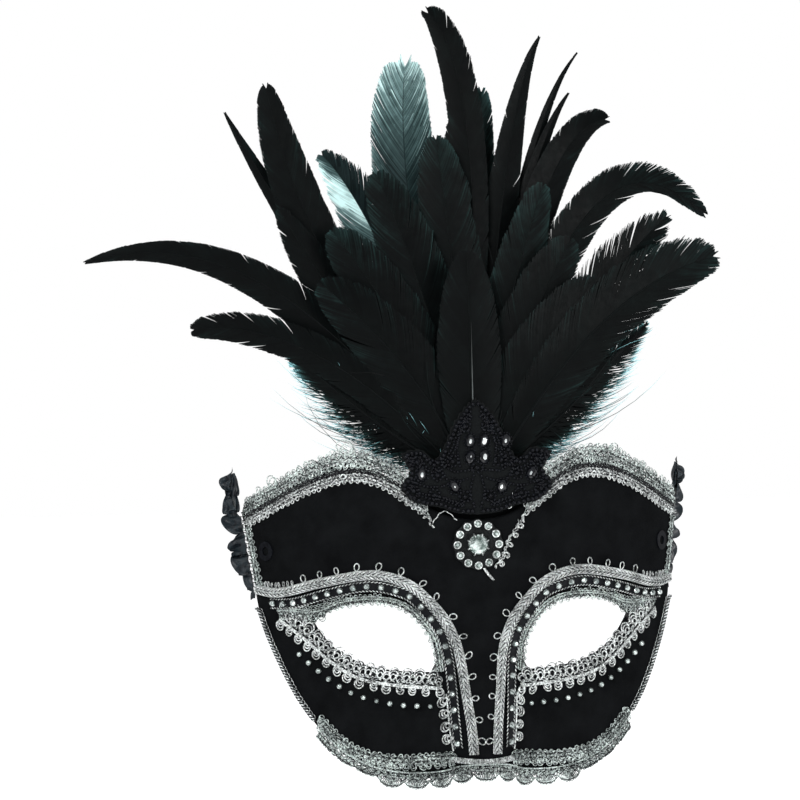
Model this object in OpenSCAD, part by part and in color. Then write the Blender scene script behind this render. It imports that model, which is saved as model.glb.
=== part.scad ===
// Venetian masquerade half mask: a moulded shell covered in velvet, edged with silver
// braid and stones, with a beaded applique and a spray of cock feathers.
// +Z is up, the front faces -Y, and the origin is the inner face at the nose bridge.

/* [Shell] */
// Radius that the mask wraps round the face
wrap_r = 102; // [98:0.5:112]
// Thickness of the moulded shell
shell_t = 1.8; // [1.2:0.1:2.4]
// Thickness of the velvet cover
velvet_t = 0.6; // [0.4:0.1:1]
// Thickness of the satin lining
lining_t = 0.4; // [0.3:0.1:0.8]
// How far the nose stands out at its lower end
nose_rise = 12; // [6:0.5:15]
// Half width of the nose ridge
nose_w = 13; // [11:0.5:16]

/* [Trims] */
// Height that every trim stands off the velvet, on its glue
rise = 0.35; // [0.3:0.05:0.6]
// Width of the silver brow cord
cord_w = 3.4; // [2.6:0.1:3.6]
// Thickness of the silver brow cord
cord_t = 2.2; // [1.6:0.1:2.6]
// Wire radius of the small silver loops
wire_r = 0.28; // [0.2:0.02:0.35]
// Radius of the stones between brow and eye
stone_r = 1.35; // [1:0.05:1.5]
// Loops along each brow
picots = 20; // [12:1:22]
// Stones along each brow
stones = 22; // [14:1:23]

/* [Brooch] */
// Height of the brooch above the nose bridge
brooch_z = 37; // [36:0.5:37]
// Radius of the ring of small stones
brooch_ring_r = 8.2; // [7.6:0.1:8.6]
// Number of small stones in the ring
brooch_stones = 12; // [8:1:14]
// Radius of the centre stone
centre_stone_r = 4; // [3:0.1:5]

/* [Feathers] */
// Thickness of a feather's vane
vane_t = 0.3; // [0.2:0.05:0.35]
// Distance between one feather and the next behind it
layer_pitch = 0.42; // [0.4:0.01:0.44]
// Lean of the front feather, in degrees
front_lean = 1; // [0.5:0.1:2]
// Further lean of each feather behind it, in degrees
lean_step = 0.75; // [0.5:0.05:0.9]

/* [Ties] */
// Bore radius of the eyelet that a tie threads through
eyelet_r = 1.75; // [1.4:0.05:1.9]
// Height of the eyelets above the nose bridge
eyelet_z = 34; // [30:0.5:36]

/* [Hidden] */

gap = 0.05;
eyelet_x = 80;
eyelet_barrel_r = 2.8;
eyelet_flange_r = 3.9;
cover_t = velvet_t + shell_t + lining_t + 2*gap;
nose_top = 20;
nose_low = -45;
eye_centre = [40, 0];

// Edge of the shell's half from the centre top round to the nose arch
OUTLINE_TOP = [[0, 46], [12, 48], [22, 53.5], [33, 62.5], [46, 69], [58, 67], [68, 62], [79, 55],
    [89, 49]];
OUTLINE_SIDE = [[89, 49], [87, 38], [85.5, 27], [84.4, 17], [83.6, 11.5]];
OUTLINE_LOW = [[83.6, 11.5], [80, -1], [75, -13.5], [70, -24], [64, -33], [57, -41.5], [49, -48],
    [39, -52.5], [27, -54], [15, -52.6], [7, -50], [0, -49.2]];
// Eye opening: over the top from the outer corner, then back along the bottom
EYE_TOP = [[64.5, 6], [60, 10], [52, 13.6], [41, 15], [31, 13.4], [23.6, 7.8], [18.2, -1], [16.4, -12.8]];
EYE_LOW = [[16.4, -12.8], [25, -13], [34, -12.4], [43, -11], [50.5, -7.8], [58, -2.6], [64.5, 6]];

// Lines that the trims follow
BROW = [[83.4, 18.6], [78, 17.6], [72, 18.4], [59, 22.4], [41.2, 25.5], [27.8, 22.2], [18.8, 14.4],
    [12.6, 6.2], [8.6, -4.5], [6.4, -20.5], [4.8, -34], [4.2, -44]];
STONE_LINE = [[78.4, 13.2], [70.3, 13.8], [59, 17.4], [48.4, 20.2], [41.2, 21], [34, 19.9], [26.4, 16.9],
    [20.2, 10.2], [15, 2.2], [12.4, -7.7], [11.2, -20], [10.4, -32], [9.6, -42]];
UPPER_LACE = [[76, 10.3], [70.5, 10.4], [65.5, 10.1], [60.2, 11], [52.2, 14.4], [41, 15.8], [30.6, 14.1],
    [23, 8.3], [17.4, -0.8], [15.6, -12.4]];
GIMP_LINE = [[75, 7.4], [66, 0.2], [56.5, -8.4], [46, -14.8], [32, -17.4], [17.5, -18.4]];
BEAD_LINE = [[68, -6.4], [62, -12], [54, -18.2], [45.5, -22.4], [33, -25.2], [19.5, -26]];
NOSE_GIMP_LINE = [[14.6, -22.2], [14, -30], [13.4, -37], [12.6, -42.5]];
TOP_LOW_ROW = [[20, 50.4], [25, 54], [31, 58.4], [38, 62.4], [45.6, 64], [54, 62.9], [63, 59.6],
    [71.5, 55], [80, 49.4], [86.6, 45]];
TOP_HIGH_ROW = [[28, 62.4], [36, 67.6], [46, 71], [56, 69.6], [65, 65], [72, 60.8], [80, 55.4], [87.4, 50]];
SIDE_LINE = [[86, 41.8], [85, 36], [83.8, 28], [82.8, 21.6]];
EDGING_LINE = [[82.4, 10], [79, -1], [74, -13.5], [68.6, -24.4], [63.6, -32]];
CHIN_ROW = [[61, -32.6], [54, -40], [47, -44.6], [38, -46.8], [28, -47.2], [19, -46.4], [11, -45.6]];
CHIN_LOBES = [[62, -37.6], [54.4, -45.4], [46, -50.4], [37, -53.2], [27, -54.2], [16, -53.4], [8, -50.8],
    [0, -50]];

function mix(a, b, t) = a + (b - a)*t;
function ease(t) = let (u = min(max(t, 0), 1)) u*u*(3 - 2*u);

// A line from the outside to the centre, continued by its mirror image
function both_halves(p) = concat(p, [for (i = [len(p) - 2 : -1 : 0]) [-p[i][0], p[i][1]]]);

// Smooth curve through a list of points
function curve_at(p, s) =
    let (n = len(p), i = min(max(floor(s), 0), n - 2), t = s - i,
         a = p[max(i - 1, 0)], b = p[i], c = p[i + 1], d = p[min(i + 2, n - 1)])
    0.5*(2*b + (c - a)*t + (2*a - 5*b + 4*c - d)*t*t + (3*b - a - 3*c + d)*t*t*t);
function smooth(p, n) = [for (k = [0 : n]) curve_at(p, k*(len(p) - 1)/n)];
function lengths(p) =
    [for (i = 0, s = 0; i < len(p); s = i + 1 < len(p) ? s + norm(p[i + 1] - p[i]) : s, i = i + 1) s];
// n points evenly spaced along a smooth curve, from share a to share b of its length
function spaced(line, n, a = 0, b = 1) =
    let (p = smooth(line, 60), s = lengths(p), rows = [for (i = [0 : len(p) - 1]) [s[i], i]])
    [for (k = [0 : n - 1])
        let (f = lookup(s[len(s) - 1]*mix(a, b, k/(n - 1)), rows), i = min(floor(f), len(p) - 2))
        mix(p[i], p[i + 1], f - i)];

// The mask's surface: a wrap round the face with a nose ridge, o outside the velvet
function nose(x, z) = nose_rise*ease((nose_top - z)/(nose_top - nose_low))*exp(-pow(x/nose_w, 2));
function face(x, z, o = 0) =
    let (k = (wrap_r + o)/wrap_r)
    [x*k, wrap_r - sqrt(wrap_r*wrap_r - x*x)*k - nose(x, z) + nose(0, 0) - cover_t, z];
function outward(x, z) =
    let (d = 0.3, n = cross(face(x + d, z) - face(x - d, z), face(x, z + d) - face(x, z - d))) n/norm(n);
function above(q, h) = face(q[0], q[1]) + outward(q[0], q[1])*h;
// Direction across a line of points on the surface, at point i
function across(p, i) =
    let (a = p[max(i - 1, 0)], b = p[min(i + 1, len(p) - 1)],
         t = face(b[0], b[1]) - face(a[0], a[1]), c = cross(outward(p[i][0], p[i][1]), t))
    [c[0], c[2]]/norm(c);

// Where the ray from the eye's centre through q meets a closed outline
function ray_hit(q, ring) =
    let (c = eye_centre, d = q - c)
    max([for (i = [0 : len(ring) - 1])
        let (a = ring[i] - c, e = ring[(i + 1) % len(ring)] - ring[i],
             det = e[0]*d[1] - e[1]*d[0],
             t = abs(det) < 1e-9 ? -1 : (e[0]*a[1] - e[1]*a[0])/det,
             s = abs(det) < 1e-9 ? -1 : (d[0]*a[1] - d[1]*a[0])/det)
        if (s >= -1e-6 && s <= 1 + 1e-6 && t > 0) t]);

SEAM = 7;
OUTER = concat(smooth(OUTLINE_TOP, 17), [for (p = smooth(OUTLINE_SIDE, 5)) if (p != OUTLINE_SIDE[0]) p],
    [for (p = smooth(OUTLINE_LOW, 20)) if (p != OUTLINE_LOW[0]) p],
    [for (k = [1 : SEAM]) [0, mix(-49.2, 46, k/(SEAM + 1))]]);
EYE = concat(smooth(EYE_TOP, 28),
    [for (p = smooth(EYE_LOW, 18)) if (p != EYE_LOW[0] && p != EYE_TOP[0]) p]);
INNER = [for (q = OUTER) let (t = ray_hit(q, EYE)) eye_centre + (q - eye_centre)*t];
LEVELS = [0, 0.13, 0.34, 0.6, 0.82, 1];

// One layer of the mask between offsets lo and hi, with both eye openings, as one closed mesh
module layer_mesh(lo, hi) {
    m = len(OUTER);
    n = len(LEVELS);
    seam_start = m - SEAM - 1;
    function on_seam(i) = i == 0 || i >= seam_start;
    function id(side, skin, lev, i) =
        let (j = i % m, s = (lev == n - 1 && on_seam(j)) ? 0 : side) ((s*2 + skin)*n + lev)*m + j;
    function tri(side, a, b, c) = side == 0 ? [a, c, b] : [a, b, c];
    points = [for (side = [0, 1], skin = [0, 1], lev = [0 : n - 1], i = [0 : m - 1])
        let (q = mix(INNER[i], OUTER[i], LEVELS[lev]), p = face(q[0], q[1], skin == 0 ? lo : hi))
        [side == 0 ? p[0] : -p[0], p[1], p[2]]];
    skins = [for (side = [0, 1], lev = [0 : n - 2], i = [0 : m - 1]) each [
        tri(side, id(side, 1, lev, i), id(side, 1, lev + 1, i + 1), id(side, 1, lev + 1, i)),
        tri(side, id(side, 1, lev, i), id(side, 1, lev, i + 1), id(side, 1, lev + 1, i + 1)),
        tri(side, id(side, 0, lev, i), id(side, 0, lev + 1, i), id(side, 0, lev + 1, i + 1)),
        tri(side, id(side, 0, lev, i), id(side, 0, lev + 1, i + 1), id(side, 0, lev, i + 1))]];
    eyes = [for (side = [0, 1], i = [0 : m - 1]) each [
        tri(side, id(side, 0, 0, i), id(side, 0, 0, i + 1), id(side, 1, 0, i + 1)),
        tri(side, id(side, 0, 0, i), id(side, 1, 0, i + 1), id(side, 1, 0, i))]];
    rim = [for (side = [0, 1], i = [0 : seam_start - 1]) each [
        tri(side, id(side, 0, n - 1, i), id(side, 1, n - 1, i + 1), id(side, 0, n - 1, i + 1)),
        tri(side, id(side, 0, n - 1, i), id(side, 1, n - 1, i), id(side, 1, n - 1, i + 1))]];
    polyhedron(points = points, faces = concat(skins, eyes, rim));
}

// Closed solid through a list of rings of points
module sweep(rings) {
    m = len(rings[0]);
    n = len(rings);
    walls = [for (i = [0 : n - 2], j = [0 : m - 1])
        let (a = i*m + j, b = i*m + (j + 1) % m) each [[a, b + m, b], [a, a + m, b + m]]];
    last = (n - 1)*m;
    ends = [for (j = [0 : m/2 - 2]) let (k = m - 1 - j) each [
        [j, j + 1, k - 1], [j, k - 1, k],
        [last + j, last + k - 1, last + j + 1], [last + j, last + k, last + k - 1]]];
    polyhedron(points = [for (r = rings) each r], faces = concat(walls, ends));
}

// Flat braid of width w and thickness t along a line on the surface
module braid(line, w, t, n, off = rise) {
    p = smooth(line, n);
    sweep([for (i = [0 : n])
        let (c = across(p, i)*w/2)
        [above(p[i] - c, off), above(p[i] + c, off), above(p[i] + c, off + t), above(p[i] - c, off + t)]]);
}

// Braid whose edge swells into lobes
module lobed_braid(line, w, lobe, lobes, t, n) {
    p = smooth(line, n);
    sweep([for (i = [0 : n])
        let (c = across(p, i), out = w/2 + lobe*abs(sin(180*lobes*i/n)))
        [above(p[i] - c*w/2, rise), above(p[i] + c*out, rise),
         above(p[i] + c*out, rise + t), above(p[i] - c*w/2, rise + t)]]);
}

// Round cord of width w and thickness t along a line on the surface
module cord(line, w, t, n) {
    p = smooth(line, n);
    sweep([for (i = [0 : n])
        let (c = across(p, i))
        [for (k = [0 : 7]) above(p[i] + c*cos(45*k)*w/2, rise + t/2 + sin(45*k)*t/2)]]);
}

// Places a child on the surface at q, h above the velvet, with its Z axis outward
module on_face(q, h) {
    n = outward(q[0], q[1]);
    u = cross([0, 0, 1], n)/norm(cross([0, 0, 1], n));
    v = cross(n, u);
    p = above(q, h);
    multmatrix([[u[0], v[0], n[0], p[0]], [u[1], v[1], n[1], p[1]], [u[2], v[2], n[2], p[2]], [0, 0, 0, 1]])
        children();
}

module wire_ring(r, wire) {
    rotate_extrude($fn = 24) translate([r, 0]) circle(r = wire, $fn = 16);
}

module loops(line, n, r, wire, out, a = 0, b = 1, lift = 0) {
    p = spaced(line, n, a, b);
    for (i = [0 : n - 1]) on_face(p[i] + across(p, i)*out, rise + wire + lift) wire_ring(r, wire);
}

module cut_stone(r, h) {
    cylinder(r = r, h = h*0.5, $fn = 24);
    translate([0, 0, h*0.5]) cylinder(r1 = r, r2 = r*0.6, h = h*0.5, $fn = 24);
}

module left() { mirror([1, 0, 0]) children(); }

module eyelet_holes() {
    for (s = [-1, 1]) scale([s, 1, 1]) on_face([eyelet_x, eyelet_z], -10)
        cylinder(r = eyelet_barrel_r + 5*gap, h = 20, $fn = 32);
}

module mask_shell() {
    color("#15161a") difference() {
        layer_mesh(-velvet_t - gap - shell_t, -velvet_t - gap);
        eyelet_holes();
    }
}

module velvet_cover() {
    color("#08080a") difference() {
        layer_mesh(-velvet_t, 0);
        eyelet_holes();
    }
}

module face_lining() {
    color("#2a2a30") difference() {
        layer_mesh(-cover_t, -cover_t + lining_t);
        eyelet_holes();
    }
}

module brow_cord() { color("silver") cord(BROW, cord_w, cord_t, 44); }

module brow_picots() {
    outer = 6;
    color("gainsboro") {
        loops(BROW, outer, 0.85, wire_r, -3.1, 0.03, 0.13);
        loops(BROW, picots - outer, 1.3, wire_r, -3.5, 0.17, 0.88);
    }
}

module eye_band() { color("#101012") braid(STONE_LINE, 3.3, 0.5, 40); }

module eye_stones() {
    p = spaced(STONE_LINE, stones, 0.012, 0.985);
    color("#dfe8e8") for (q = p) on_face(q, rise + 0.5 + 0.15) cut_stone(stone_r, 1.4);
}

module upper_eye_lace() { color("#b4bdb8") braid(UPPER_LACE, 2.6, 0.8, 30); }

module lower_eye_gimp() {
    color("#c9d0cc") {
        braid(GIMP_LINE, 2, 1.2, 20);
        loops(GIMP_LINE, 14, 1.4, 0.35, -3, 0.09, 0.97);
        loops(GIMP_LINE, 14, 1.4, 0.35, 3, 0.09, 0.97);
    }
}

module cheek_beads() {
    p = spaced(BEAD_LINE, 12);
    color("#d8e0de") for (q = p) on_face(q, rise + 1) sphere(r = 1, $fn = 24);
}

module nose_gimp() { color("#c9d0cc") loops(NOSE_GIMP_LINE, 5, 1.4, 0.4, 0, lift = 0.3); }

module top_braid() {
    color("#c4cbc7") {
        braid(TOP_LOW_ROW, 3, 1.3, 28);
        braid(TOP_HIGH_ROW, 3, 1.3, 24);
        loops(TOP_HIGH_ROW, 13, 1.4, wire_r, 3.4, 0.06, 0.94);
    }
}

module side_braid() { color("#c4cbc7") braid(SIDE_LINE, 2.6, 1, 8); }

module cheek_edging() { color("#9aa39f") cord(EDGING_LINE, 1.9, 1.9, 18); }

module chin_lace() {
    color("#aeb7b3") {
        for (s = [0, 1]) mirror([s, 0, 0]) braid(CHIN_ROW, 2.4, 1.2, 20);
        lobed_braid(both_halves(CHIN_LOBES), 4.2, 1.6, 18, 1.2, 72);
    }
}

// Half outline of the applique's felt, from the bottom up
APPLIQUE = [[0, 48.8], [8, 49.6], [15, 52], [24, 54], [30, 60], [26.5, 66], [29.5, 73], [21.5, 74.5],
    [17, 70], [12.5, 76], [9, 84], [4, 91], [0, 94]];
CABOCHONS = [[-2.5, 77.6], [3, 77.6], [-2.5, 71.4], [3, 71.4], [-21.8, 65], [21.5, 64.6], [11.5, 77.4],
    [-9, 60], [9.8, 59.6]];
// Half width and half height of a cabochon
cabochon_size = [2.1, 2.8];
applique_y = -2.2;
applique_t = 1;

module facing_front() { rotate([90, 0, 0]) children(); }

module applique_base() {
    color("#0c0c0f") translate([0, applique_y + applique_t, 0]) facing_front() linear_extrude(applique_t)
        polygon(both_halves(APPLIQUE));
}

module applique_cabochons() {
    color("#1b1b20") for (q = CABOCHONS) translate([q[0], applique_y - gap, q[1]]) facing_front()
        linear_extrude(1.8) scale(cabochon_size) circle(r = 1, $fn = 16);
}

module applique_beads() {
    beads = 26;
    bead_r = 1;
    inset = 0.94;
    edge = spaced([for (q = APPLIQUE) [q[0]*inset, mix(66, q[1], inset)]], beads);
    function clear_of_cabochons(q) = min([for (c = CABOCHONS) norm(c - q)]) > cabochon_size[1] + bead_r;
    color("#232329") for (s = [-1, 1], i = [0 : beads - 1])
        let (q = [s*edge[i][0], edge[i][1]]) if ((s > 0 || edge[i][0] > bead_r) && clear_of_cabochons(q))
            translate([q[0], applique_y - bead_r - 0.1, q[1]]) sphere(r = bead_r, $fn = 24);
}

brooch_y = face(0, brooch_z)[1] - rise;
brooch_t = 0.9;

module brooch_plate() {
    color("#3a3d40") translate([0, brooch_y, brooch_z]) facing_front()
        cylinder(r = brooch_ring_r + 1.9, h = brooch_t, $fn = 48);
}

module brooch_centre_stone() {
    color("#e4eeee") translate([0, brooch_y - brooch_t - gap, brooch_z]) facing_front()
        cut_stone(centre_stone_r, 3);
}

module brooch_ring_stones() {
    color("#e4eeee") for (k = [0 : brooch_stones - 1])
        translate([brooch_ring_r*sin(360*k/brooch_stones), brooch_y - brooch_t - gap,
            brooch_z + brooch_ring_r*cos(360*k/brooch_stones)]) facing_front() cut_stone(1.5, 1.8);
}

// The spray's quills are bound into a roll that flexes in a felt saddle
roll_y = 5.2;
roll_z = 61.5;
roll_r = 4.6;
roll_clear = 0.35;

module roll(r, h) {
    translate([-h/2, roll_y, roll_z]) rotate([0, 90, 0]) cylinder(r = r, h = h, $fn = 48);
}

module feather_card() {
    color("#1d1d20") difference() {
        union() {
            translate([-20, 6.4, 33]) cube([40, 1.2, 23]);
            translate([-16, 0.6, 54.6]) cube([32, 9.2, 4.4]);
        }
        roll(roll_r + roll_clear, 60);
    }
}

module feather_binding() {
    color("#26262a") roll(roll_r, 30);
}

root_z = 66.4;
front_layer_y = 1.4;
// The spray curves back behind the shell's top edge, then runs straight out to the sides
wrap_back = 22;
wrap_reach = 50;

function spine(root, bend, tip, t) = root*(1 - t)*(1 - t) + bend*2*t*(1 - t) + tip*t*t;
function spine_way(root, bend, tip, t) = (bend - root)*(1 - t) + (tip - bend)*t;
// Half width of a vane: a shapes the base and b the tip, where a small b is a round tip
function vane(t, w, a, b) =
    max(0.5, w*pow(t, a)*pow(1 - t, b)/(pow(a/(a + b), a)*pow(b/(a + b), b)));
function spray_y(layer, x, z) = front_layer_y + layer*layer_pitch
    + wrap_back*(1 - exp(-pow(x/wrap_reach, 2))) + (z - root_z)*tan(front_lean + layer*lean_step);

// One feather: a curved vane in its own layer behind the front one
module feather(layer, x, bend, tip, w, a, b) {
    n = 22;
    root = [x, root_z];
    sweep([for (i = [0 : n])
        let (t = sin(90*i/n), p = spine(root, bend, tip, t), d = spine_way(root, bend, tip, t),
             s = [d[1], -d[0]]/norm(d)*vane(t, w, a, b), q = [for (k = [-1 : 0.5 : 1]) p + s*k],
             y = [for (c = q) spray_y(layer, c[0], c[1])])
        concat([for (k = [0 : 4]) [q[k][0], y[k] - vane_t, q[k][1]]],
            [for (k = [4 : -1 : 0]) [q[k][0], y[k], q[k][1]]])]);
}

module feather_front_centre() {
    color("#0b0d0e") feather(0, 0, [-1.5, 100], [-1.5, 152], 12, 0.5, 0.5);
}

module feather_right_broad() {
    color("#0b1011") feather(1, 8, [52.5, 137], [102.5, 148.5], 12, 0.55, 0.3);
}

module feather_left_lobe() {
    color("#0b0e0f") feather(2, -8, [-60, 129], [-109, 123], 7, 0.45, 0.35);
}

module feather_left_fluff() {
    color("#14181a") feather(3, -10, [-40.5, 84.5], [-72, 116.5], 9.5, 0.7, 0.7);
}

module feather_right_wisp() {
    color("#14181a") feather(4, 10, [41, 87.5], [74.5, 122.5], 8.5, 0.7, 0.7);
}

module feather_far_left_sickle() {
    color("#0a0c0d") feather(5, -10, [-79, 173], [-151.5, 150], 8.5, 0.35, 0.8);
}

module feather_right_fringe() {
    color("#0c1113") feather(6, 6, [50.5, 137], [85, 165.5], 12, 0.45, 0.5);
}

module feather_left_margin() {
    color("#0b0f10") feather(7, -6, [-53.5, 134], [-72.5, 171], 9, 0.4, 0.5);
}

module feather_left_quilled() {
    color("#0d1213") feather(8, -7, [-65, 151], [-76, 221], 9.5, 0.5, 0.45);
}

module feather_right_arch() {
    color("#0d1516") feather(9, 5, [51, 218], [102, 164.5], 8.5, 0.5, 0.55);
}

module feather_left_spike() {
    color("#0a0d0e") feather(10, -8, [-82.5, 188.5], [-93, 211.5], 5.5, 0.45, 0.9);
}

module feather_left_teal() {
    color("#2f5a5e") feather(11, -5, [-30.5, 167], [-55, 193], 12, 0.5, 0.5);
}

module feather_tallest() {
    color("#0b1214") feather(12, -2, [14, 228], [-12, 249.5], 6.7, 1, 0.35);
}

module feather_right_round() {
    color("#0b1112") feather(13, 4, [32, 205.5], [64.5, 205], 7.5, 0.5, 0.35);
}

module feather_right_spear() {
    color("#0b1213") feather(14, 3, [18, 213], [37.5, 240.5], 8, 0.45, 0.9);
}

module feather_right_blade() {
    color("#0b1213") feather(15, 2, [23.5, 186.5], [49.5, 217.5], 5, 0.45, 0.9);
}

module feather_right_needle() {
    color("#0b1213") feather(16, 4, [25, 204], [55, 234.5], 4, 0.45, 1);
}

module feather_tall_teal() {
    color("#3f6f73") feather(17, -3, [-27, 173.5], [-18.5, 229.5], 12, 0.5, 0.25);
}

module feather_rear_centre() {
    color("#0e1719") feather(18, 0, [7.5, 160.5], [12, 218.5], 6, 0.5, 0.3);
}

module tie_eyelet() {
    flange_t = 0.5;
    reach = 0.7;
    color("#1a1b1e") on_face([eyelet_x, eyelet_z], -cover_t - reach) difference() {
        union() {
            cylinder(r = eyelet_barrel_r, h = cover_t + 2*reach, $fn = 32);
            cylinder(r = eyelet_flange_r, h = flange_t, $fn = 32);
            translate([0, 0, cover_t + 2*reach - flange_t])
                cylinder(r = eyelet_flange_r, h = flange_t, $fn = 32);
        }
        translate([0, 0, -1]) cylinder(r = eyelet_r, h = cover_t + 4, $fn = 32);
    }
}

// The gathered ribbon hangs on a stitched line along the shell's side edge
edge_top = mix(face(89, 49, -cover_t), face(89, 49), 0.5);
edge_low = mix(face(84.4, 17, -cover_t), face(84.4, 17), 0.5);
// Share of the way up the edge, and radius, of each gather
GATHERS = [[-0.06, 1.3], [0.1, 1.9], [0.22, 2.2], [0.34, 3], [0.48, 4.4], [0.64, 4.2], [0.76, 2.9],
    [0.92, 4.3], [1.08, 4.4], [1.22, 3.2], [1.36, 3.6], [1.5, 2.4], [1.58, 1]];
stitch_gap = 2;

module ribbon_ruffle(swing) {
    along = (edge_top - edge_low)/norm(edge_top - edge_low);
    n = outward(88, 40);
    back = cross(along, n);
    dir = back*cos(swing) + n*sin(swing);
    side = cross(along, dir);
    fine = smooth(GATHERS, 30);
    color("#0d0d12") sweep([for (g = fine)
        let (c = mix(edge_low, edge_top, g[0]) + dir*(g[1] + stitch_gap))
        [for (k = [0 : 7]) c + (dir*cos(45*k) + side*sin(45*k))*g[1]]]);
}

mask_shell();
velvet_cover();
face_lining();
left() brow_cord();  // left_brow_cord
brow_cord();  // right_brow_cord
left() brow_picots();  // left_brow_picots
brow_picots();  // right_brow_picots
left() eye_band();  // left_eye_band
eye_band();  // right_eye_band
left() eye_stones();  // left_eye_stones
eye_stones();  // right_eye_stones
left() upper_eye_lace();  // left_upper_eye_lace
upper_eye_lace();  // right_upper_eye_lace
left() lower_eye_gimp();  // left_lower_eye_gimp
lower_eye_gimp();  // right_lower_eye_gimp
left() cheek_beads();  // left_cheek_beads
cheek_beads();  // right_cheek_beads
left() nose_gimp();  // left_nose_gimp
nose_gimp();  // right_nose_gimp
left() top_braid();  // left_top_braid
top_braid();  // right_top_braid
left() side_braid();  // left_side_braid
side_braid();  // right_side_braid
left() cheek_edging();  // left_cheek_edging
cheek_edging();  // right_cheek_edging
chin_lace();
applique_base();
applique_cabochons();
applique_beads();
brooch_plate();
brooch_centre_stone();
brooch_ring_stones();
feather_card();
feather_binding();
feather_far_left_sickle();
feather_left_lobe();
feather_left_spike();
feather_left_quilled();
feather_left_margin();
feather_left_teal();
feather_tall_teal();
feather_tallest();
feather_rear_centre();
feather_right_spear();
feather_right_needle();
feather_right_blade();
feather_right_round();
feather_right_arch();
feather_right_fringe();
feather_right_broad();
feather_right_wisp();
feather_left_fluff();
feather_front_centre();
left() tie_eyelet();  // left_tie_eyelet
tie_eyelet();  // right_tie_eyelet
left() ribbon_ruffle(20);  // left_ribbon_ruffle
ribbon_ruffle(0);  // right_ribbon_ruffle
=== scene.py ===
"""Venetian masquerade half mask: velvet, silver braid and lace, cut stones, a beaded applique
and a spray of cock feathers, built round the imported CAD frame.

Lengths are in millimetres until a mesh is made, where MM turns them into metres.
"""
import math

import bmesh
import bpy
import numpy as np
from mathutils import Matrix, Vector


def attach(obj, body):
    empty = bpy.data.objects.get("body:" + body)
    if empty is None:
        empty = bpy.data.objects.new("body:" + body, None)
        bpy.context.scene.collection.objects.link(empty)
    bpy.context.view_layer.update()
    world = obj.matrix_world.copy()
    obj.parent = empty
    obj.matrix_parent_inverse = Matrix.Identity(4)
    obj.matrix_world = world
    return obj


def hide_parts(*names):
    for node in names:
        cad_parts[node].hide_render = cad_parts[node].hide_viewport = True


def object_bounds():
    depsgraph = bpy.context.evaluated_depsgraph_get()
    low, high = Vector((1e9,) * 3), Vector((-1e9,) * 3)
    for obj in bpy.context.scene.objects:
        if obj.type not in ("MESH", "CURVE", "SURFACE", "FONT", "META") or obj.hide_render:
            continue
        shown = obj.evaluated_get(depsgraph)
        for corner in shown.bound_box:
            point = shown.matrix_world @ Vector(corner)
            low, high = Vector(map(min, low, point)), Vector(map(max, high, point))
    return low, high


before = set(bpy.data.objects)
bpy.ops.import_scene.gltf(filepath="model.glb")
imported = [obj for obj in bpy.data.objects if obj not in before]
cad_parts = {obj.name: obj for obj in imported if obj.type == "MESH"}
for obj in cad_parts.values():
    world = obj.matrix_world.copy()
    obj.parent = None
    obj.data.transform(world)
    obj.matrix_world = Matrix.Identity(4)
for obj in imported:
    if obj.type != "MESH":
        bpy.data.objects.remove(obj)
cad_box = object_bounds()

MM = 0.001
TAU = 2 * math.pi
MASK = "mask"
SPRAY = "feather_spray"
scene = bpy.context.scene


# ---------------------------------------------------------------- the mask's surface

WRAP_R = 102.0
NOSE_RISE, NOSE_W, NOSE_TOP, NOSE_LOW = 12.0, 13.0, 20.0, -45.0
COVER_T = 2.9
RISE = 0.3


def ease(t):
    t = np.clip(t, 0, 1)
    return t * t * (3 - 2 * t)


def nose(x, z):
    return NOSE_RISE * ease((NOSE_TOP - z) / (NOSE_TOP - NOSE_LOW)) * np.exp(-((x / NOSE_W) ** 2))


NOSE_0 = float(nose(np.array(0.0), np.array(0.0)))


def face(q, o=0.0):
    """Points of the mask's front at q = (x, z), and o outside it."""
    x, z = q[..., 0], q[..., 1]
    k = (WRAP_R + o) / WRAP_R
    y = WRAP_R - np.sqrt(WRAP_R**2 - x**2) * k - nose(x, z) + NOSE_0 - COVER_T
    return np.stack([x * k, y, z + 0 * x], -1)


def unit(v):
    return v / np.maximum(np.linalg.norm(v, axis=-1, keepdims=True), 1e-12)


def outward(q):
    d = 0.3
    ex, ez = np.array([d, 0.0]), np.array([0.0, d])
    return unit(np.cross(face(q + ex) - face(q - ex), face(q + ez) - face(q - ez)))


def above(q, h):
    return face(q) + outward(q) * np.asarray(h)[..., None]


def smooth(points, n):
    """n + 1 points on a smooth curve through a list of points."""
    p = np.asarray(points, float)
    p = np.vstack([p[:1], p, p[-1:]])
    s = np.linspace(0, len(p) - 3, n + 1)
    i = np.minimum(s.astype(int), len(p) - 4)
    t = (s - i)[:, None]
    a, b, c, d = p[i], p[i + 1], p[i + 2], p[i + 3]
    return 0.5 * (
        2 * b + (c - a) * t + (2 * a - 5 * b + 4 * c - d) * t**2 + (3 * b - a - 3 * c + d) * t**3
    )


def run(points):
    """The length of the way from the first point to each."""
    return np.concatenate([[0], np.cumsum(np.linalg.norm(np.diff(points, axis=0), axis=1))])


def sample(at, s, table):
    """Places or ways read off a table of pairs, whose rows stand at s."""
    return np.stack([np.interp(at, s, table[:, k]) for k in (0, 1)], -1)


def turned(u, v, angle):
    return u * math.cos(angle) + v * math.sin(angle), v * math.cos(angle) - u * math.sin(angle)


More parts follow.
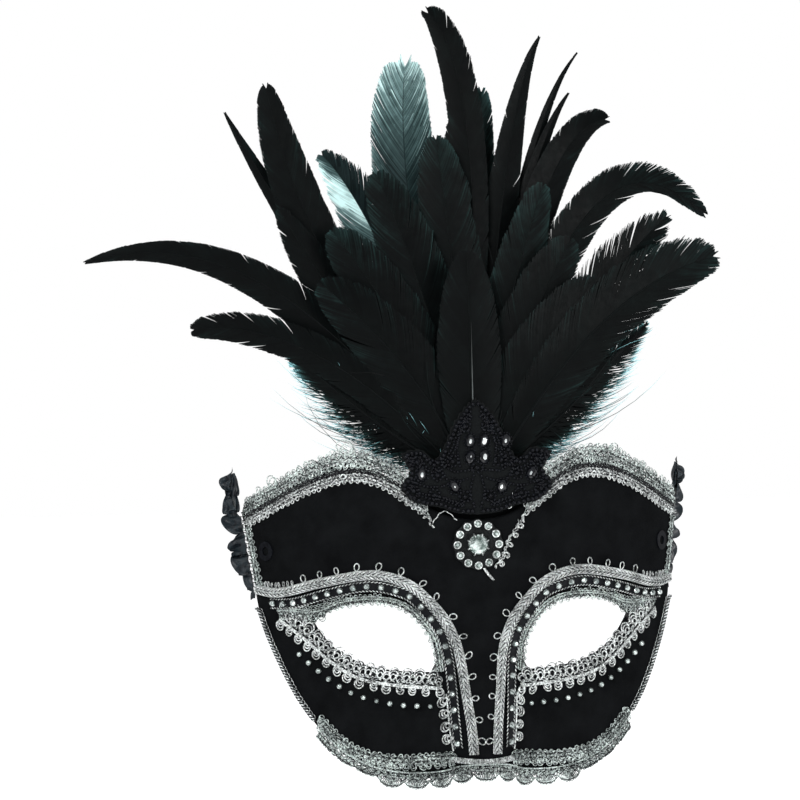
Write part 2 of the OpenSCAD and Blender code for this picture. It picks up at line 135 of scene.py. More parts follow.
OUTLINE = [
    [[0, 46], [12, 48], [22, 53.5], [33, 62.5], [46, 69], [58, 67], [68, 62], [79, 55], [89, 49]],
    [[89, 49], [87, 38], [85.5, 27], [84.4, 17], [83.6, 11.5]],
    [[83.6, 11.5], [80, -1], [75, -13.5], [70, -24], [64, -33], [57, -41.5], [49, -48],
     [39, -52.5], [27, -54], [15, -52.6], [7, -50], [0, -49.2]],
]
EYE = [
    [[64.5, 6], [60, 10], [52, 13.6], [41, 15], [31, 13.4], [23.6, 7.8], [18.2, -1], [16.4, -12.8]],
    [[16.4, -12.8], [25, -13], [34, -12.4], [43, -11], [50.5, -7.8], [58, -2.6], [64.5, 6]],
]
BROW = [[83.4, 18.6], [78, 17.6], [72, 18.4], [59, 22.4], [41.2, 25.5], [27.8, 22.2], [18.8, 14.4],
        [12.6, 6.2], [8.6, -4.5], [6.4, -20.5], [4.8, -34], [4.2, -44]]
STONE_LINE = [[78.4, 13.2], [70.3, 13.8], [59, 17.4], [48.4, 20.2], [41.2, 21], [34, 19.9], [26.4, 16.9],
              [20.2, 10.2], [15, 2.2], [12.4, -7.7], [11.2, -20], [10.4, -32], [9.6, -42]]
UPPER_LACE = [[76, 10.3], [70.5, 10.4], [65.5, 10.1], [60.2, 11], [52.2, 14.4], [41, 15.8], [30.6, 14.1],
              [23, 8.3], [17.4, -0.8], [15.6, -12.4]]
GIMP_LINE = [[75, 7.4], [66, 0.2], [56.5, -8.4], [46, -14.8], [32, -17.4], [17.5, -18.4]]
BEAD_LINE = [[68, -6.4], [62, -12], [54, -18.2], [45.5, -22.4], [33, -25.2], [19.5, -26]]
NOSE_GIMP_LINE = [[14.6, -22.2], [14, -30], [13.4, -37], [12.6, -42.5]]
TOP_LOW_ROW = [[20, 50.4], [25, 54], [31, 58.4], [38, 62.4], [45.6, 64], [54, 62.9], [63, 59.6],
               [71.5, 55], [80, 49.4], [86.6, 45]]
TOP_HIGH_ROW = [[28, 62.4], [36, 67.6], [46, 71], [56, 69.6], [65, 65], [72, 60.8], [80, 55.4], [87.4, 50]]
SIDE_LINE = [[86, 41.8], [85, 36], [83.8, 28], [82.8, 21.6]]
EDGING_LINE = [[82.4, 10], [79, -1], [74, -13.5], [68.6, -24.4], [63.6, -32]]
CHIN_ROW = [[61, -32.6], [54, -40], [47, -44.6], [38, -46.8], [28, -47.2], [19, -46.4], [11, -45.6]]
CHIN_LOBES = [[62, -37.6], [54.4, -45.4], [46, -50.4], [37, -53.2], [27, -54.2], [16, -53.4], [8, -50.8],
              [0, -50]]


class Line:
    """A line on the surface, measured by its true length in millimetres."""

    def __init__(self, points, n=700):
        self.q = smooth(points, n)
        p = face(self.q)
        self.s = run(p)
        self.length = self.s[-1]
        side = np.cross(outward(self.q), np.gradient(p, axis=0))
        self.c = side[:, [0, 2]] / np.linalg.norm(side, axis=1)[:, None]

    def at(self, s, a=0.0, h=0.0):
        """The place s along, a across and h above the velvet."""
        s, a, h = np.broadcast_arrays(np.asarray(s, float), a, h)
        q, c = sample(s, self.s, self.q), sample(s, self.s, self.c)
        before = np.minimum(s, 0) + np.maximum(s - self.length, 0)
        t = np.stack([c[..., 1], -c[..., 0]], -1)
        return above(q + c * a[..., None] + t * before[..., None], h)


# ---------------------------------------------------------------- meshes

class Batch:
    """Collects many small forms into one mesh."""

    def __init__(self):
        self.verts, self.quads, self.tris, self.shade, self.along = [], [], [], [], []
        self.count = 0

    def add(self, verts, quads=(), tris=(), shade=0.0, along=0.0):
        verts = np.asarray(verts, float).reshape(-1, 3)
        self.verts.append(verts)
        if len(quads):
            self.quads.append(np.asarray(quads) + self.count)
        if len(tris):
            self.tris.append(np.asarray(tris) + self.count)
        self.shade.append(np.broadcast_to(np.asarray(shade, float).ravel(), (len(verts),)))
        self.along.append(np.broadcast_to(np.asarray(along, float).ravel(), (len(verts),)))
        self.count += len(verts)

    def tube(self, path, r, sides=6, up=None, shade=0.0):
        """A closed round tube along a path, with rounded ends."""
        path = np.asarray(path, float)
        n = len(path)
        r = np.broadcast_to(np.asarray(r, float), (n,)).copy()
        t = unit(np.gradient(path, axis=0))
        ref = np.broadcast_to(np.array([0.13, -0.97, 0.2]) if up is None else np.asarray(up, float), t.shape)
        u = unit(np.cross(t, ref))
        w = np.cross(u, t)
        path = np.vstack([path[:1] - t[:1] * r[0] * 0.6, path, path[-1:] + t[-1:] * r[-1] * 0.6])
        u, w = np.vstack([u[:1], u, u[-1:]]), np.vstack([w[:1], w, w[-1:]])
        r = np.concatenate([[r[0] * 0.35], r, [r[-1] * 0.35]])
        n += 2
        angle = np.linspace(0, TAU, sides, endpoint=False)
        ring = (u[:, None] * np.cos(angle)[None, :, None]
                + w[:, None] * np.sin(angle)[None, :, None]) * r[:, None, None]
        quads = grid_quads(n, sides, wrap=True)
        caps = fan(sides)
        tris = np.vstack([caps[:, ::-1], caps + (n - 1) * sides])
        s = run(path)
        if np.ndim(shade):
            shade = np.concatenate([[shade[0]], shade, [shade[-1]]])
            shade = np.repeat(shade, sides)
        self.add(path[:, None] + ring, quads, tris, shade, np.repeat(s, sides))

    def build(self, name, material, body=MASK, flat=False, mirrored=False):
        verts = np.vstack(self.verts) * MM
        quads = np.vstack(self.quads) if self.quads else np.zeros((0, 4), int)
        tris = np.vstack(self.tris) if self.tris else np.zeros((0, 3), int)
        if mirrored:
            verts = verts * [-1, 1, 1]
            quads, tris = quads[:, ::-1], tris[:, ::-1]
        mesh = bpy.data.meshes.new(name)
        mesh.vertices.add(len(verts))
        mesh.vertices.foreach_set("co", verts.ravel())
        loops = np.concatenate([quads.ravel(), tris.ravel()])
        mesh.loops.add(len(loops))
        mesh.loops.foreach_set("vertex_index", loops)
        starts = np.concatenate([np.arange(len(quads)) * 4, len(quads) * 4 + np.arange(len(tris)) * 3])
        mesh.polygons.add(len(starts))
        mesh.polygons.foreach_set("loop_start", starts)
        mesh.polygons.foreach_set("use_smooth", np.full(len(starts), not flat))
        for key, values in (("shade", self.shade), ("along", self.along)):
            attribute = mesh.attributes.new(key, "FLOAT", "POINT")
            attribute.data.foreach_set("value", np.concatenate(values))
        mesh.update(calc_edges=True)
        mesh.validate()
        obj = bpy.data.objects.new(name, mesh)
        scene.collection.objects.link(obj)
        mesh.materials.append(material)
        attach(obj, body)
        return obj

    def piece(self, name, material, slot, *nodes, body=MASK, flat=False, mirrored=False):
        """Builds the mesh, in place of the CAD nodes it is given."""
        obj = self.build(name, material, body, flat, mirrored)
        if nodes:
            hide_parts(*nodes)
        return obj


def grid_quads(rows, cols, wrap=False):
    """Faces of a grid of rows by cols points, joined round its columns if wrap."""
    i, j = np.meshgrid(np.arange(rows - 1), np.arange(cols if wrap else cols - 1), indexing="ij")
    k = (j + 1) % cols
    return np.stack([i * cols + j, i * cols + k, (i + 1) * cols + k, (i + 1) * cols + j], -1).reshape(-1, 4)


def fan(n):
    j = np.arange(1, n - 1)
    return np.stack([0 * j, j, j + 1], -1)


def sides_of(make):
    """Calls make for the right side, then for the left one with its meshes mirrored."""
    for side, mirrored in (("right", False), ("left", True)):
        make(side, mirrored)


# ---------------------------------------------------------------- materials

WEAVE_SCALE = 832
FILAMENT = 0.22
THREAD_PITCH = 0.3


class Nodes:
    """Short names for making a material's nodes."""

    def __init__(self, name, **sockets):
        self.material = bpy.data.materials.new(name)
        self.material.use_nodes = True
        self.tree = self.material.node_tree
        self.shader = self.tree.nodes["Principled BSDF"]
        self.output = self.tree.nodes["Material Output"]
        for key, value in sockets.items():
            self.shader.inputs[key.replace("_", " ")].default_value = value

    def node(self, kind, **settings):
        made = self.tree.nodes.new(kind)
        for key, value in settings.items():
            if key[0].isupper():
                made.inputs[key.replace("_", " ")].default_value = value
            else:
                setattr(made, key, value)
        return made

    def link(self, a, b):
        self.tree.links.new(a, b)

    def noise(self, scale, detail=3.0, rough=0.6):
        coords = self.node("ShaderNodeTexCoord")
        made = self.node("ShaderNodeTexNoise", Scale=scale, Detail=detail, Roughness=rough)
        self.link(coords.outputs["Object"], made.inputs["Vector"])
        return made.outputs["Fac"]

    def ramp(self, fac, stops):
        made = self.node("ShaderNodeValToRGB")
        ramp = made.color_ramp
        while len(ramp.elements) < len(stops):
            ramp.elements.new(0.5)
        for element, (place, colour) in zip(ramp.elements, stops):
            element.position = place
            element.color = (*colour, 1)
        self.link(fac, made.inputs["Fac"])
        return made.outputs["Color"]

    def attribute(self, name):
        return self.node("ShaderNodeAttribute", attribute_name=name).outputs["Fac"]

    def math(self, operation, a, b=None):
        made = self.node("ShaderNodeMath", operation=operation)
        for k, v in enumerate((a, b)):
            if v is None:
                continue
            if isinstance(v, (int, float)):
                made.inputs[k].default_value = v
            else:
                self.link(v, made.inputs[k])
        return made.outputs[0]

    def colour(self, socket):
        self.link(socket, self.shader.inputs["Base Color"])

    def roughness(self, fac, low, high):
        made = self.node("ShaderNodeMapRange")
        made.inputs["To Min"].default_value = low
        made.inputs["To Max"].default_value = high
        self.link(fac, made.inputs["Value"])
        self.link(made.outputs["Result"], self.shader.inputs["Roughness"])

    def bump(self, height, distance, strength=1.0):
        made = self.node("ShaderNodeBump", Distance=distance, Strength=strength)
        self.link(height, made.inputs["Height"])
        self.link(made.outputs["Normal"], self.shader.inputs["Normal"])


def mottled_material(name, cloud, dark, light, rough=None, bump=None, **sockets):
    """Clouds of two tones. A noise is (scale, detail); rough and bump add two levels to it."""
    m = Nodes(name, **sockets)
    m.colour(m.ramp(m.noise(*cloud), [dark, light]))
    if rough:
        m.roughness(m.noise(*rough[:2]), *rough[2:])
    if bump:
        m.bump(m.noise(*bump[:2]), *bump[2:])
    return m.material


def satin_material(name, colour, lighter, level):
    m = Nodes(name, Roughness=0.38, Specular_IOR_Level=level)
    coords = m.node("ShaderNodeTexCoord")
    wave = m.node("ShaderNodeTexWave", Scale=WEAVE_SCALE, Distortion=1.5, Detail=2.0)
    m.link(coords.outputs["Object"], wave.inputs["Vector"])
    m.colour(m.ramp(m.noise(400, 3), [(0.3, colour), (0.75, lighter)]))
    m.roughness(m.noise(900, 3), 0.3, 0.5)
    m.bump(wave.outputs["Fac"], 0.00004, 0.5)
    return m.material


def silver_material(name, dark, light, tarnish=0.0):
    """Metal thread: fine filaments wound round its length."""
    m = Nodes(name, Metallic=1.0, Roughness=0.3)
    along = m.attribute("along")
    lines = m.math("SINE", m.math("MULTIPLY", along, TAU / FILAMENT))
    grain = m.noise(1500, 3)
    cloud = m.noise(140, 3)
    mixed = m.math("ADD", m.math("MULTIPLY", grain, 0.7), m.math("MULTIPLY", cloud, 0.3))
    m.colour(m.ramp(mixed, [(0.36 + tarnish, dark), (0.47 + tarnish, tuple(c * 0.4 for c in light)),
                            (0.58 + tarnish, light)]))
    m.roughness(grain, 0.2, 0.45)
    m.bump(m.math("ADD", m.math("MULTIPLY", lines, 0.5), grain), 0.00005, 0.8)
    return m.material


def stone_material(name, dark, light, rough=0.05):
    return mottled_material(name, (420, 2), (0.35, dark), (0.62, light), Metallic=0.75, Roughness=rough,
                            Coat_Weight=0.6, Coat_Roughness=0.03)


def jet_material(name, level):
    return mottled_material(name, (500, 2), (0.3, (0.002, 0.002, 0.003)), (0.7, (0.006, 0.007, 0.009)),
                            rough=(1500, 3, 0.05, 0.14), Roughness=0.08, Specular_IOR_Level=level)


def thread_material(name):
    m = Nodes(name, Roughness=0.7, Sheen_Weight=0.05, Specular_IOR_Level=0.1)
    lines = m.math("SINE", m.math("MULTIPLY", m.attribute("along"), TAU / THREAD_PITCH))
    m.colour(m.ramp(m.noise(1200, 3), [(0.3, (0.004, 0.004, 0.005)), (0.7, (0.016, 0.016, 0.019))]))
    m.bump(lines, 0.00004, 0.7)
    return m.material


def feather_material(name, stops, translucent):
    """Barbs: dark at the quill, light blue-green where the attribute shade rises to 1; that rise is painted
    sheen and painted backlit glow, with some random tone.
    """
    m = Nodes(name, Roughness=0.48, Specular_IOR_Level=0.045)
    shade = m.attribute("shade")
    mixed = m.math("ADD", shade, m.math("MULTIPLY", m.math("SUBTRACT", m.noise(160, 4), 0.5), 0.35))
    colour = m.ramp(mixed, stops)
    m.colour(colour)
    m.roughness(m.noise(420, 3), 0.32, 0.62)
    glow = m.node("ShaderNodeBsdfTranslucent")
    m.link(colour, glow.inputs["Color"])
    blend = m.node("ShaderNodeMixShader", Fac=translucent)
    m.link(m.shader.outputs[0], blend.inputs[1])
    m.link(glow.outputs[0], blend.inputs[2])
    m.link(blend.outputs[0], m.output.inputs["Surface"])
    return m.material


SILVER = silver_material("silver_thread", (0.035, 0.042, 0.04), (0.92, 0.96, 0.95))
SILVER_LACE = silver_material("silver_lace", (0.015, 0.025, 0.023), (0.8, 0.89, 0.86), tarnish=0.02)
BLACK_THREAD = thread_material("black_thread")
VELVET = mottled_material(
    "black_velvet", (90, 4), (0.3, (0.0025, 0.0027, 0.003)), (0.7, (0.005, 0.0055, 0.006)),
    bump=(2600, 2, 0.00025, 0.9), Roughness=1.0, Sheen_Weight=0.02, Sheen_Roughness=0.3,
    Sheen_Tint=(0.5, 0.6, 0.65, 1), Specular_IOR_Level=0.02)
SATIN = satin_material("black_satin", (0.0025, 0.0027, 0.0035), (0.005, 0.006, 0.0075), 0.08)
LINING = satin_material("satin_lining", (0.012, 0.012, 0.015), (0.022, 0.022, 0.027), 0.25)
STONE = stone_material("cut_glass", (0.1, 0.14, 0.125), (0.78, 0.87, 0.84))
EYE_STONE = stone_material("smoky_stone", (0.14, 0.17, 0.165), (0.62, 0.68, 0.66), 0.1)
PEARL = stone_material("grey_bead", (0.1, 0.12, 0.115), (0.5, 0.56, 0.54), 0.22)
JET = jet_material("jet", 0.08)
JET_STONE = jet_material("jet_stone", 0.5)
ENAMEL = jet_material("eyelet_enamel", 0.03)
# A bright material for the glints on the applique's black stones: painted highlights.
GLINT = stone_material("glint", (0.5, 0.55, 0.55), (0.95, 0.98, 0.98), 0.08)
RUFFLE_SATIN = satin_material("ruffle_satin", (0.004, 0.0045, 0.007), (0.012, 0.02, 0.025), 0.22)
DARK_METAL = mottled_material(
    "dark_plate", (700, 4), (0.3, (0.003, 0.0033, 0.0035)), (0.75, (0.013, 0.014, 0.0145)),
    (900, 4, 0.25, 0.5), (2200, 3, 0.00003, 0.5), Metallic=0.6, Roughness=0.35, Specular_IOR_Level=0.1)
FELT = mottled_material(
    "black_felt", (1800, 5), (0.3, (0.0025, 0.0028, 0.003)), (0.7, (0.007, 0.008, 0.0085)),
    bump=(2600, 5, 0.0002, 0.9), Roughness=0.95, Sheen_Weight=0.03, Specular_IOR_Level=0.04)
PLASTIC = mottled_material(
    "shell_plastic", (60, 3), (0.3, (0.008, 0.008, 0.009)), (0.7, (0.014, 0.014, 0.016)),
    (700, 3, 0.45, 0.65), (1300, 4, 0.00004, 0.6), Roughness=0.55)
BLACK_FEATHER = feather_material("black_feather", [
    (0.0, (0.0015, 0.002, 0.0021)), (0.2, (0.0024, 0.0036, 0.0036)), (0.36, (0.006, 0.013, 0.0125)),
    (0.55, (0.015, 0.034, 0.033)), (0.75, (0.035, 0.09, 0.098)), (1.0, (0.30, 0.6, 0.64))], 0.06)
TEAL_FEATHER = feather_material("teal_feather", [
    (0.0, (0.004, 0.007, 0.0075)), (0.3, (0.012, 0.022, 0.023)), (0.55, (0.035, 0.065, 0.066)),
    (0.78, (0.12, 0.2, 0.2)), (1.0, (0.55, 0.76, 0.75))], 0.12)
QUILL = feather_material("pale_quill", [(0.0, (0.01, 0.011, 0.011)), (1.0, (0.09, 0.1, 0.1))], 0.1)


# ---------------------------------------------------------------- camera, floor and light

VIEW_AZIMUTH, VIEW_ELEVATION, VIEW_ROLL = -6.5, 1.5, 1.2
VIEW_DISTANCE = 1.35
VIEW_WIDTH = 0.312
SENSOR_WIDTH = 36
FLOOR_GAP, FLOOR_HALF = 0.12, 4.0
AIM = Vector((-0.0294, 0.0, 0.0942))


def build_camera():
    a, e = math.radians(VIEW_AZIMUTH), math.radians(VIEW_ELEVATION)
    back = Vector((math.sin(a) * math.cos(e), -math.cos(a) * math.cos(e), math.sin(e)))
    right = Vector((math.cos(a), math.sin(a), 0))
    up = back.cross(right)
    turn = Matrix((right, up, back)).transposed()
    data = bpy.data.cameras.new("camera")
    data.sensor_width = SENSOR_WIDTH
    data.lens = SENSOR_WIDTH * VIEW_DISTANCE / VIEW_WIDTH
    data.clip_start, data.clip_end = 0.05, 50
    obj = bpy.data.objects.new("camera", data)
    obj.matrix_world = (Matrix.Translation(AIM + back * VIEW_DISTANCE) @ turn.to_4x4()
                        @ Matrix.Rotation(math.radians(-VIEW_ROLL), 4, "Z"))
    scene.collection.objects.link(obj)
    scene.camera = obj


def build_floor():
    low = cad_box[0][2] - FLOOR_GAP
    corners = [(x * FLOOR_HALF, y * FLOOR_HALF, low) for x, y in ((-1, -1), (1, -1), (1, 1), (-1, 1))]
    mesh = bpy.data.meshes.new("floor")
    mesh.from_pydata(corners, [], [(0, 1, 2, 3)])
    floor = bpy.data.objects.new("floor", mesh)
    mesh.materials.append(mottled_material(
        "pale_floor", (6, 3), (0.2, (0.86, 0.86, 0.86)), (0.8, (0.9, 0.9, 0.9)), Roughness=0.9,
        Emission_Strength=0.45, Emission_Color=(1, 1, 1, 1), Specular_IOR_Level=0.1))
    scene.collection.objects.link(floor)


def build_lights():
    world = bpy.data.worlds.new("studio")
    world.use_nodes = True
    tree = world.node_tree
    way = tree.nodes.new("ShaderNodeTexCoord")
    split = tree.nodes.new("ShaderNodeSeparateXYZ")
    fade = tree.nodes.new("ShaderNodeValToRGB")
    for stop, place, colour in zip(fade.color_ramp.elements, (0.0, 0.5),
                                   ((0.42, 0.43, 0.44, 1), (1, 1, 1, 1))):
        stop.position, stop.color = place, colour
    tree.links.new(way.outputs["Generated"], split.inputs[0])
    tree.links.new(split.outputs["Y"], fade.inputs["Fac"])
    tree.links.new(fade.outputs["Color"], tree.nodes["Background"].inputs["Color"])
    tree.nodes["Background"].inputs["Strength"].default_value = 1.0
    scene.world = world
    scene.view_settings.view_transform = "Standard"
    for name, place, size, power in (
        ("key", (-0.55, -1.1, 0.75), 0.5, 16),
        ("fill", (0.8, -0.9, 0.3), 0.6, 7),
        ("rim", (0.1, 0.9, 0.9), 0.7, 8),
    ):
        data = bpy.data.lights.new(name, "AREA")
        data.size = size
        data.energy = power
        obj = bpy.data.objects.new(name, data)
        obj.location = place
        obj.rotation_euler = (Vector((0, 0, 0.06)) - Vector(place)).to_track_quat("-Z", "Y").to_euler()
        scene.collection.objects.link(obj)


# ---------------------------------------------------------------- the mask's layers

EYE_CENTRE = np.array([40.0, 0.0])


def closed(parts, counts):
    """One closed outline out of curves that meet end to end."""
    return np.vstack([smooth(p, n)[:-1] for p, n in zip(parts, counts)])


def ray_hits(outer, ring, centre):
    """Where the rays from centre to each outer point cross a closed ring."""
    hits = []
    a = ring - centre
    e = np.roll(ring, -1, axis=0) - ring
    for d in outer - centre:
        det = e[:, 0] * d[1] - e[:, 1] * d[0]
        with np.errstate(divide="ignore", invalid="ignore"):
            t = (e[:, 0] * a[:, 1] - e[:, 1] * a[:, 0]) / det
            s = (d[0] * a[:, 1] - d[1] * a[:, 0]) / det
        ok = (s >= -1e-6) & (s <= 1 + 1e-6) & (t > 0)
        hits.append(centre + d * t[ok].max())
    return np.array(hits)


def layer(name, material, front, back, margin, rim_points, levels):
    """A smooth skin over the mask at front, rolled over every rim down to back."""
    outer = closed(OUTLINE, (110, 30, 130))
    seam = np.stack([np.zeros(60), np.linspace(-49.2, 46, 61)[:-1]], -1)
    outer = np.vstack([outer, seam])
    inner = ray_hits(outer, closed(EYE, (160, 120)), EYE_CENTRE)
    on_seam = np.abs(outer[:, 0]) < 1e-9
    way = unit(outer - inner)
    outer_in = np.where(on_seam[:, None], outer, outer - way * margin)
    inner_in = inner + way * margin
    t = ease(np.linspace(0, 1, levels)) * 0.5 + np.linspace(0, 1, levels) * 0.5
    q = inner_in[None] * (1 - t)[:, None, None] + outer_in[None] * t[:, None, None]
    rows = [face(row, front) for row in q]
    depth = abs(front - back)
    for k in range(1, rim_points + 1):
        turn = math.pi * k / rim_points
        out, o = math.sin(turn) * depth * 0.35, front + (back - front) * (1 - math.cos(turn)) / 2
        rows.insert(0, face(inner_in - way * out, o))
        grown = np.where(on_seam[:, None], outer_in, outer_in + way * out)
        rows.append(face(grown, o))
    rows = np.array(rows)
    n, m = rows.shape[:2]
    quads = grid_quads(n, m, wrap=True)
    on = np.flatnonzero(on_seam)
    rolled = set(range(n - rim_points, n))
    keep = [not ((a // m in rolled or d // m in rolled) and on_seam[a % m] and on_seam[b % m])
            for a, b, c, d in quads]
    quads = quads[np.array(keep)]
    batch = Batch()
    batch.add(rows, quads[:, ::-1])
    batch.add(rows * [-1, 1, 1], quads)
    obj = batch.build(name, material)
    bm = bmesh.new()
    bm.from_mesh(obj.data)
    bmesh.ops.remove_doubles(bm, verts=bm.verts, dist=2e-6)
    bmesh.ops.delete(bm, geom=[v for v in bm.verts if not v.link_faces], context="VERTS")
    bm.to_mesh(obj.data)
    bm.free()
    return obj


def build_cover():
    for name, material, node, slot, front, back, margin, rim_points, levels in (
        ("velvet", VELVET, "velvet_cover", "black_velvet", 0.0, -COVER_T - 0.1, 0.6, 7, 34),
        ("lining", LINING, "face_lining", "satin_lining", -COVER_T - 0.15, -COVER_T + 0.2, 2.6, 3, 20),
    ):
        obj = layer(name, material, front, back, margin, rim_points, levels)
        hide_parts(node)


# ---------------------------------------------------------------- braid, cord and lace

def twist(batch, line, s0, s1, a0, h0, turn_r, plies, ply_r, pitch, hand=1, sides=6, step=0.3, phase=0.0):
    """Plies wound round each other along a line."""
    s = np.arange(s0, s1, step)
    for k in range(plies):
        angle = hand * TAU * s / pitch + TAU * k / plies + phase
        path = line.at(s, a0 + turn_r * np.cos(angle), RISE + h0 + turn_r * np.sin(angle))
        batch.tube(path, ply_r, sides)


def scroll(batch, line, s0, s1, a0, r, pitch, strands, strand_r, out, gap, rng, loose=0.06):
    """Fine wires that run along a line in loops, like a row of written e's."""
    turns = max(2, round((s1 - s0) / pitch))
    phi = np.linspace(0, TAU * turns, turns * 22)
    knots = np.linspace(0, phi[-1], turns * 2 + 1)
    for k in range(strands):
        wobble = 1 + np.interp(phi, knots, rng.normal(0, loose, len(knots)))
        drift = np.interp(phi, knots, rng.normal(0, loose * 1.2, len(knots)))
        rr = r * wobble - k * (strand_r * 2 + gap)
        s = s0 + (s1 - s0) * phi / phi[-1] - rr * np.sin(phi) + drift
        a = a0 + out * (r - rr * np.cos(phi))
        h = RISE + strand_r * (1 + 1.1 * np.sin(phi / 2 + 0.6) ** 2)
        batch.tube(line.at(s, a, h), strand_r, 5)


def wire_loop(batch, line, s, base, size, wire, h0=0.0, lean=0.0, width=1.0, out=1):
    """One loop of wire that crosses its own legs at its foot."""
    t = np.linspace(-1, 1, 34)
    along = size * 0.5 * width * -np.sin(math.pi * t) + 0.22 * size * t
    a = base + 0.18 * size * (1 - t**8) + size * 0.5 * (1 + np.cos(math.pi * t)) - 0.12 * size
    along = along + lean * (a - base)
    h = RISE + h0 + wire + 0.6 * wire * np.sin(math.pi * t * 0.5)
    batch.tube(line.at(s + along, out * a, h), wire, 6)


def loop_row(batch, line, s0, s1, pitch, base, size, out, rng, wires=3, wire=0.19):
    """Separate loops in a row, each of several wires inside each other."""
    for s in np.arange(s0, s1, pitch):
        lean, grow = rng.normal(0.1, 0.1), rng.normal(1, 0.05)
        for k in range(wires):
            wire_loop(batch, line, s + rng.normal(0, 0.1), base, size * grow * (1 - 0.25 * k), wire,
                      0.08 * k, lean, 0.98 + rng.normal(0, 0.04), out)


def crinkle(batch, line, s0, s1, a0, size, pitch, wire, rng, h0=0.0):
    """A wire bent to and fro, with every bend a little different."""
    s = np.arange(s0, s1, 0.22)
    knots = np.linspace(s0, s1, max(3, int((s1 - s0) / pitch * 2)))
    push = rng.uniform(0.4, 1.2, len(knots)) * np.where(np.arange(len(knots)) % 2, 1, -1) * size
    a = a0 + np.interp(s, knots, push)
    a = np.convolve(np.pad(a, 2, mode="edge"), np.ones(5) / 5, "valid")
    h = RISE + h0 + wire * (1.4 + 1.2 * np.sin(s * 3.1 + rng.uniform(0, 6)))
    batch.tube(line.at(s + 0.25 * size * np.sin(s * TAU / pitch * 2), a, h), wire, 5)


def painted_shade_threads(name, batch, mirrored=False):
    """Black thread laid among the silver as painted shade in the gaps between and under its wires."""
    batch.piece(name, BLACK_THREAD, "binding_thread", mirrored=mirrored)


def build_brow(side, mirrored):
    line = Line(BROW)
    cord = Batch()
    end = line.length
    # Black plies wound inside the silver ones: painted shade in the cord's twist.
    dark = Batch()
    for a0, hand in ((-0.9, 1), (0.9, -1)):
        twist(cord, line, 0, end, a0, 1.0, 0.56, 3, 0.25, 6.2, hand, 6, 0.22)
        twist(cord, line, 0, end, a0, 1.0, 0.66, 3, 0.11, 6.2, hand, 5, 0.22, 0.75)
        twist(dark, line, 0, end, a0, 1.0, 0.46, 3, 0.26, 6.2, hand, 6, 0.22, math.pi / 3)
    twist(cord, line, 0, end, 0, 1.55, 0.14, 2, 0.15, 1.3, 1, 5)
    for a0 in (-1.75, 1.75):
        twist(cord, line, 0, end, a0, 0.4, 0.14, 2, 0.15, 1.2, 1, 5)
    painted_shade_threads(f"{side}_cord_shade", dark, mirrored)
    cord.piece(f"{side}_cord", SILVER, "silver_thread", f"{side}_brow_cord", mirrored=mirrored)

    rng = np.random.default_rng(11 if mirrored else 12)
    loops = Batch()
    for s in np.linspace(0.03, 0.14, 8) * end:
        wire_loop(loops, line, s, 1.5, 2.3 + rng.normal(0, 0.15), 0.17, lean=rng.normal(0, 0.15),
                  width=0.55, out=-1)
    for s in np.linspace(0.18, 0.965, 15) * end:
        wire_loop(loops, line, s + rng.normal(0, 0.3), 1.6, 3.1 + rng.normal(0, 0.15), 0.22,
                  lean=rng.normal(0, 0.16), width=0.86 + rng.normal(0, 0.07), out=-1)
    loops.piece(f"{side}_picots", SILVER, "silver_thread", f"{side}_brow_picots", mirrored=mirrored)


def brilliant(batch, origin, u, v, n, r, h, count=8, table=0.55):
    """A cut stone on its girdle: table, star and kite faces, each one flat."""
    def ring(radius, height, k, phase):
        angle = TAU * (np.arange(k) + phase) / k
        return (origin + u * (radius * np.cos(angle))[:, None] + v * (radius * np.sin(angle))[:, None]
                + n * height)

    base, girdle = ring(r * 0.97, 0, count * 2, 0), ring(r, h * 0.22, count * 2, 0)
    mid, top = ring(r * 0.84, h * 0.62, count, 0.0), ring(r * table, h, count, 0.5)
    forms = [top, base[::-1]]
    for k in range(count * 2):
        j = (k + 1) % (count * 2)
        forms.append([base[k], base[j], girdle[j], girdle[k]])
    for k in range(count):
        j = (k + 1) % count
        g0, g1, g2 = girdle[2 * k], girdle[2 * k + 1], girdle[(2 * k + 2) % (2 * count)]
        forms += [[g0, g1, mid[k]], [g1, g2, mid[j]], [g1, mid[j], mid[k]],
                  [mid[k], mid[j], top[k]], [top[k], mid[j], top[j]]]
    for form in forms:
        form = np.array(form)
        if len(form) == 4:
            batch.add(form, [(0, 1, 2, 3)])
        else:
            batch.add(form, [], fan(len(form)))


def ring_torus(batch, origin, u, v, n, r, tube, steps=20, sides=6):
    angle = np.linspace(0, TAU, steps, endpoint=False)
    turn = np.linspace(0, TAU, sides, endpoint=False)
    out = u * np.cos(angle)[:, None] + v * np.sin(angle)[:, None]
    verts = (origin + out[:, None] * (r + tube * np.cos(turn))[None, :, None]
             + n * (tube * np.sin(turn))[None, :, None])
    quads = grid_quads(steps + 1, sides, wrap=True)
    quads = np.where(quads >= steps * sides, quads - steps * sides, quads)
    batch.add(verts, quads)


def frame_at(q):
    n = outward(q)
    u = unit(np.cross(np.array([0, 0, 1.0]), n))
    return u, np.cross(n, u), n


def set_stone(stones, cups, p, u, v, n, r, h, count=8):
    """A stone in a cup with a fine rim and four claws."""
    brilliant(stones, p + n * 0.12, u, v, n, r, h, count)
    ring_torus(cups, p + n * 0.3, u, v, n, r * 1.04, r * 0.12)
    for k in range(4):
        a = math.pi / 4 + k * math.pi / 2
        way = u * math.cos(a) + v * math.sin(a)
        foot, tip = p + way * r * 1.1, p + way * r * 0.8 + n * h * 0.75
        cups.tube(np.array([foot, (foot + tip) / 2 + n * h * 0.16, tip]), r * 0.09, 5, up=np.cross(n, way))


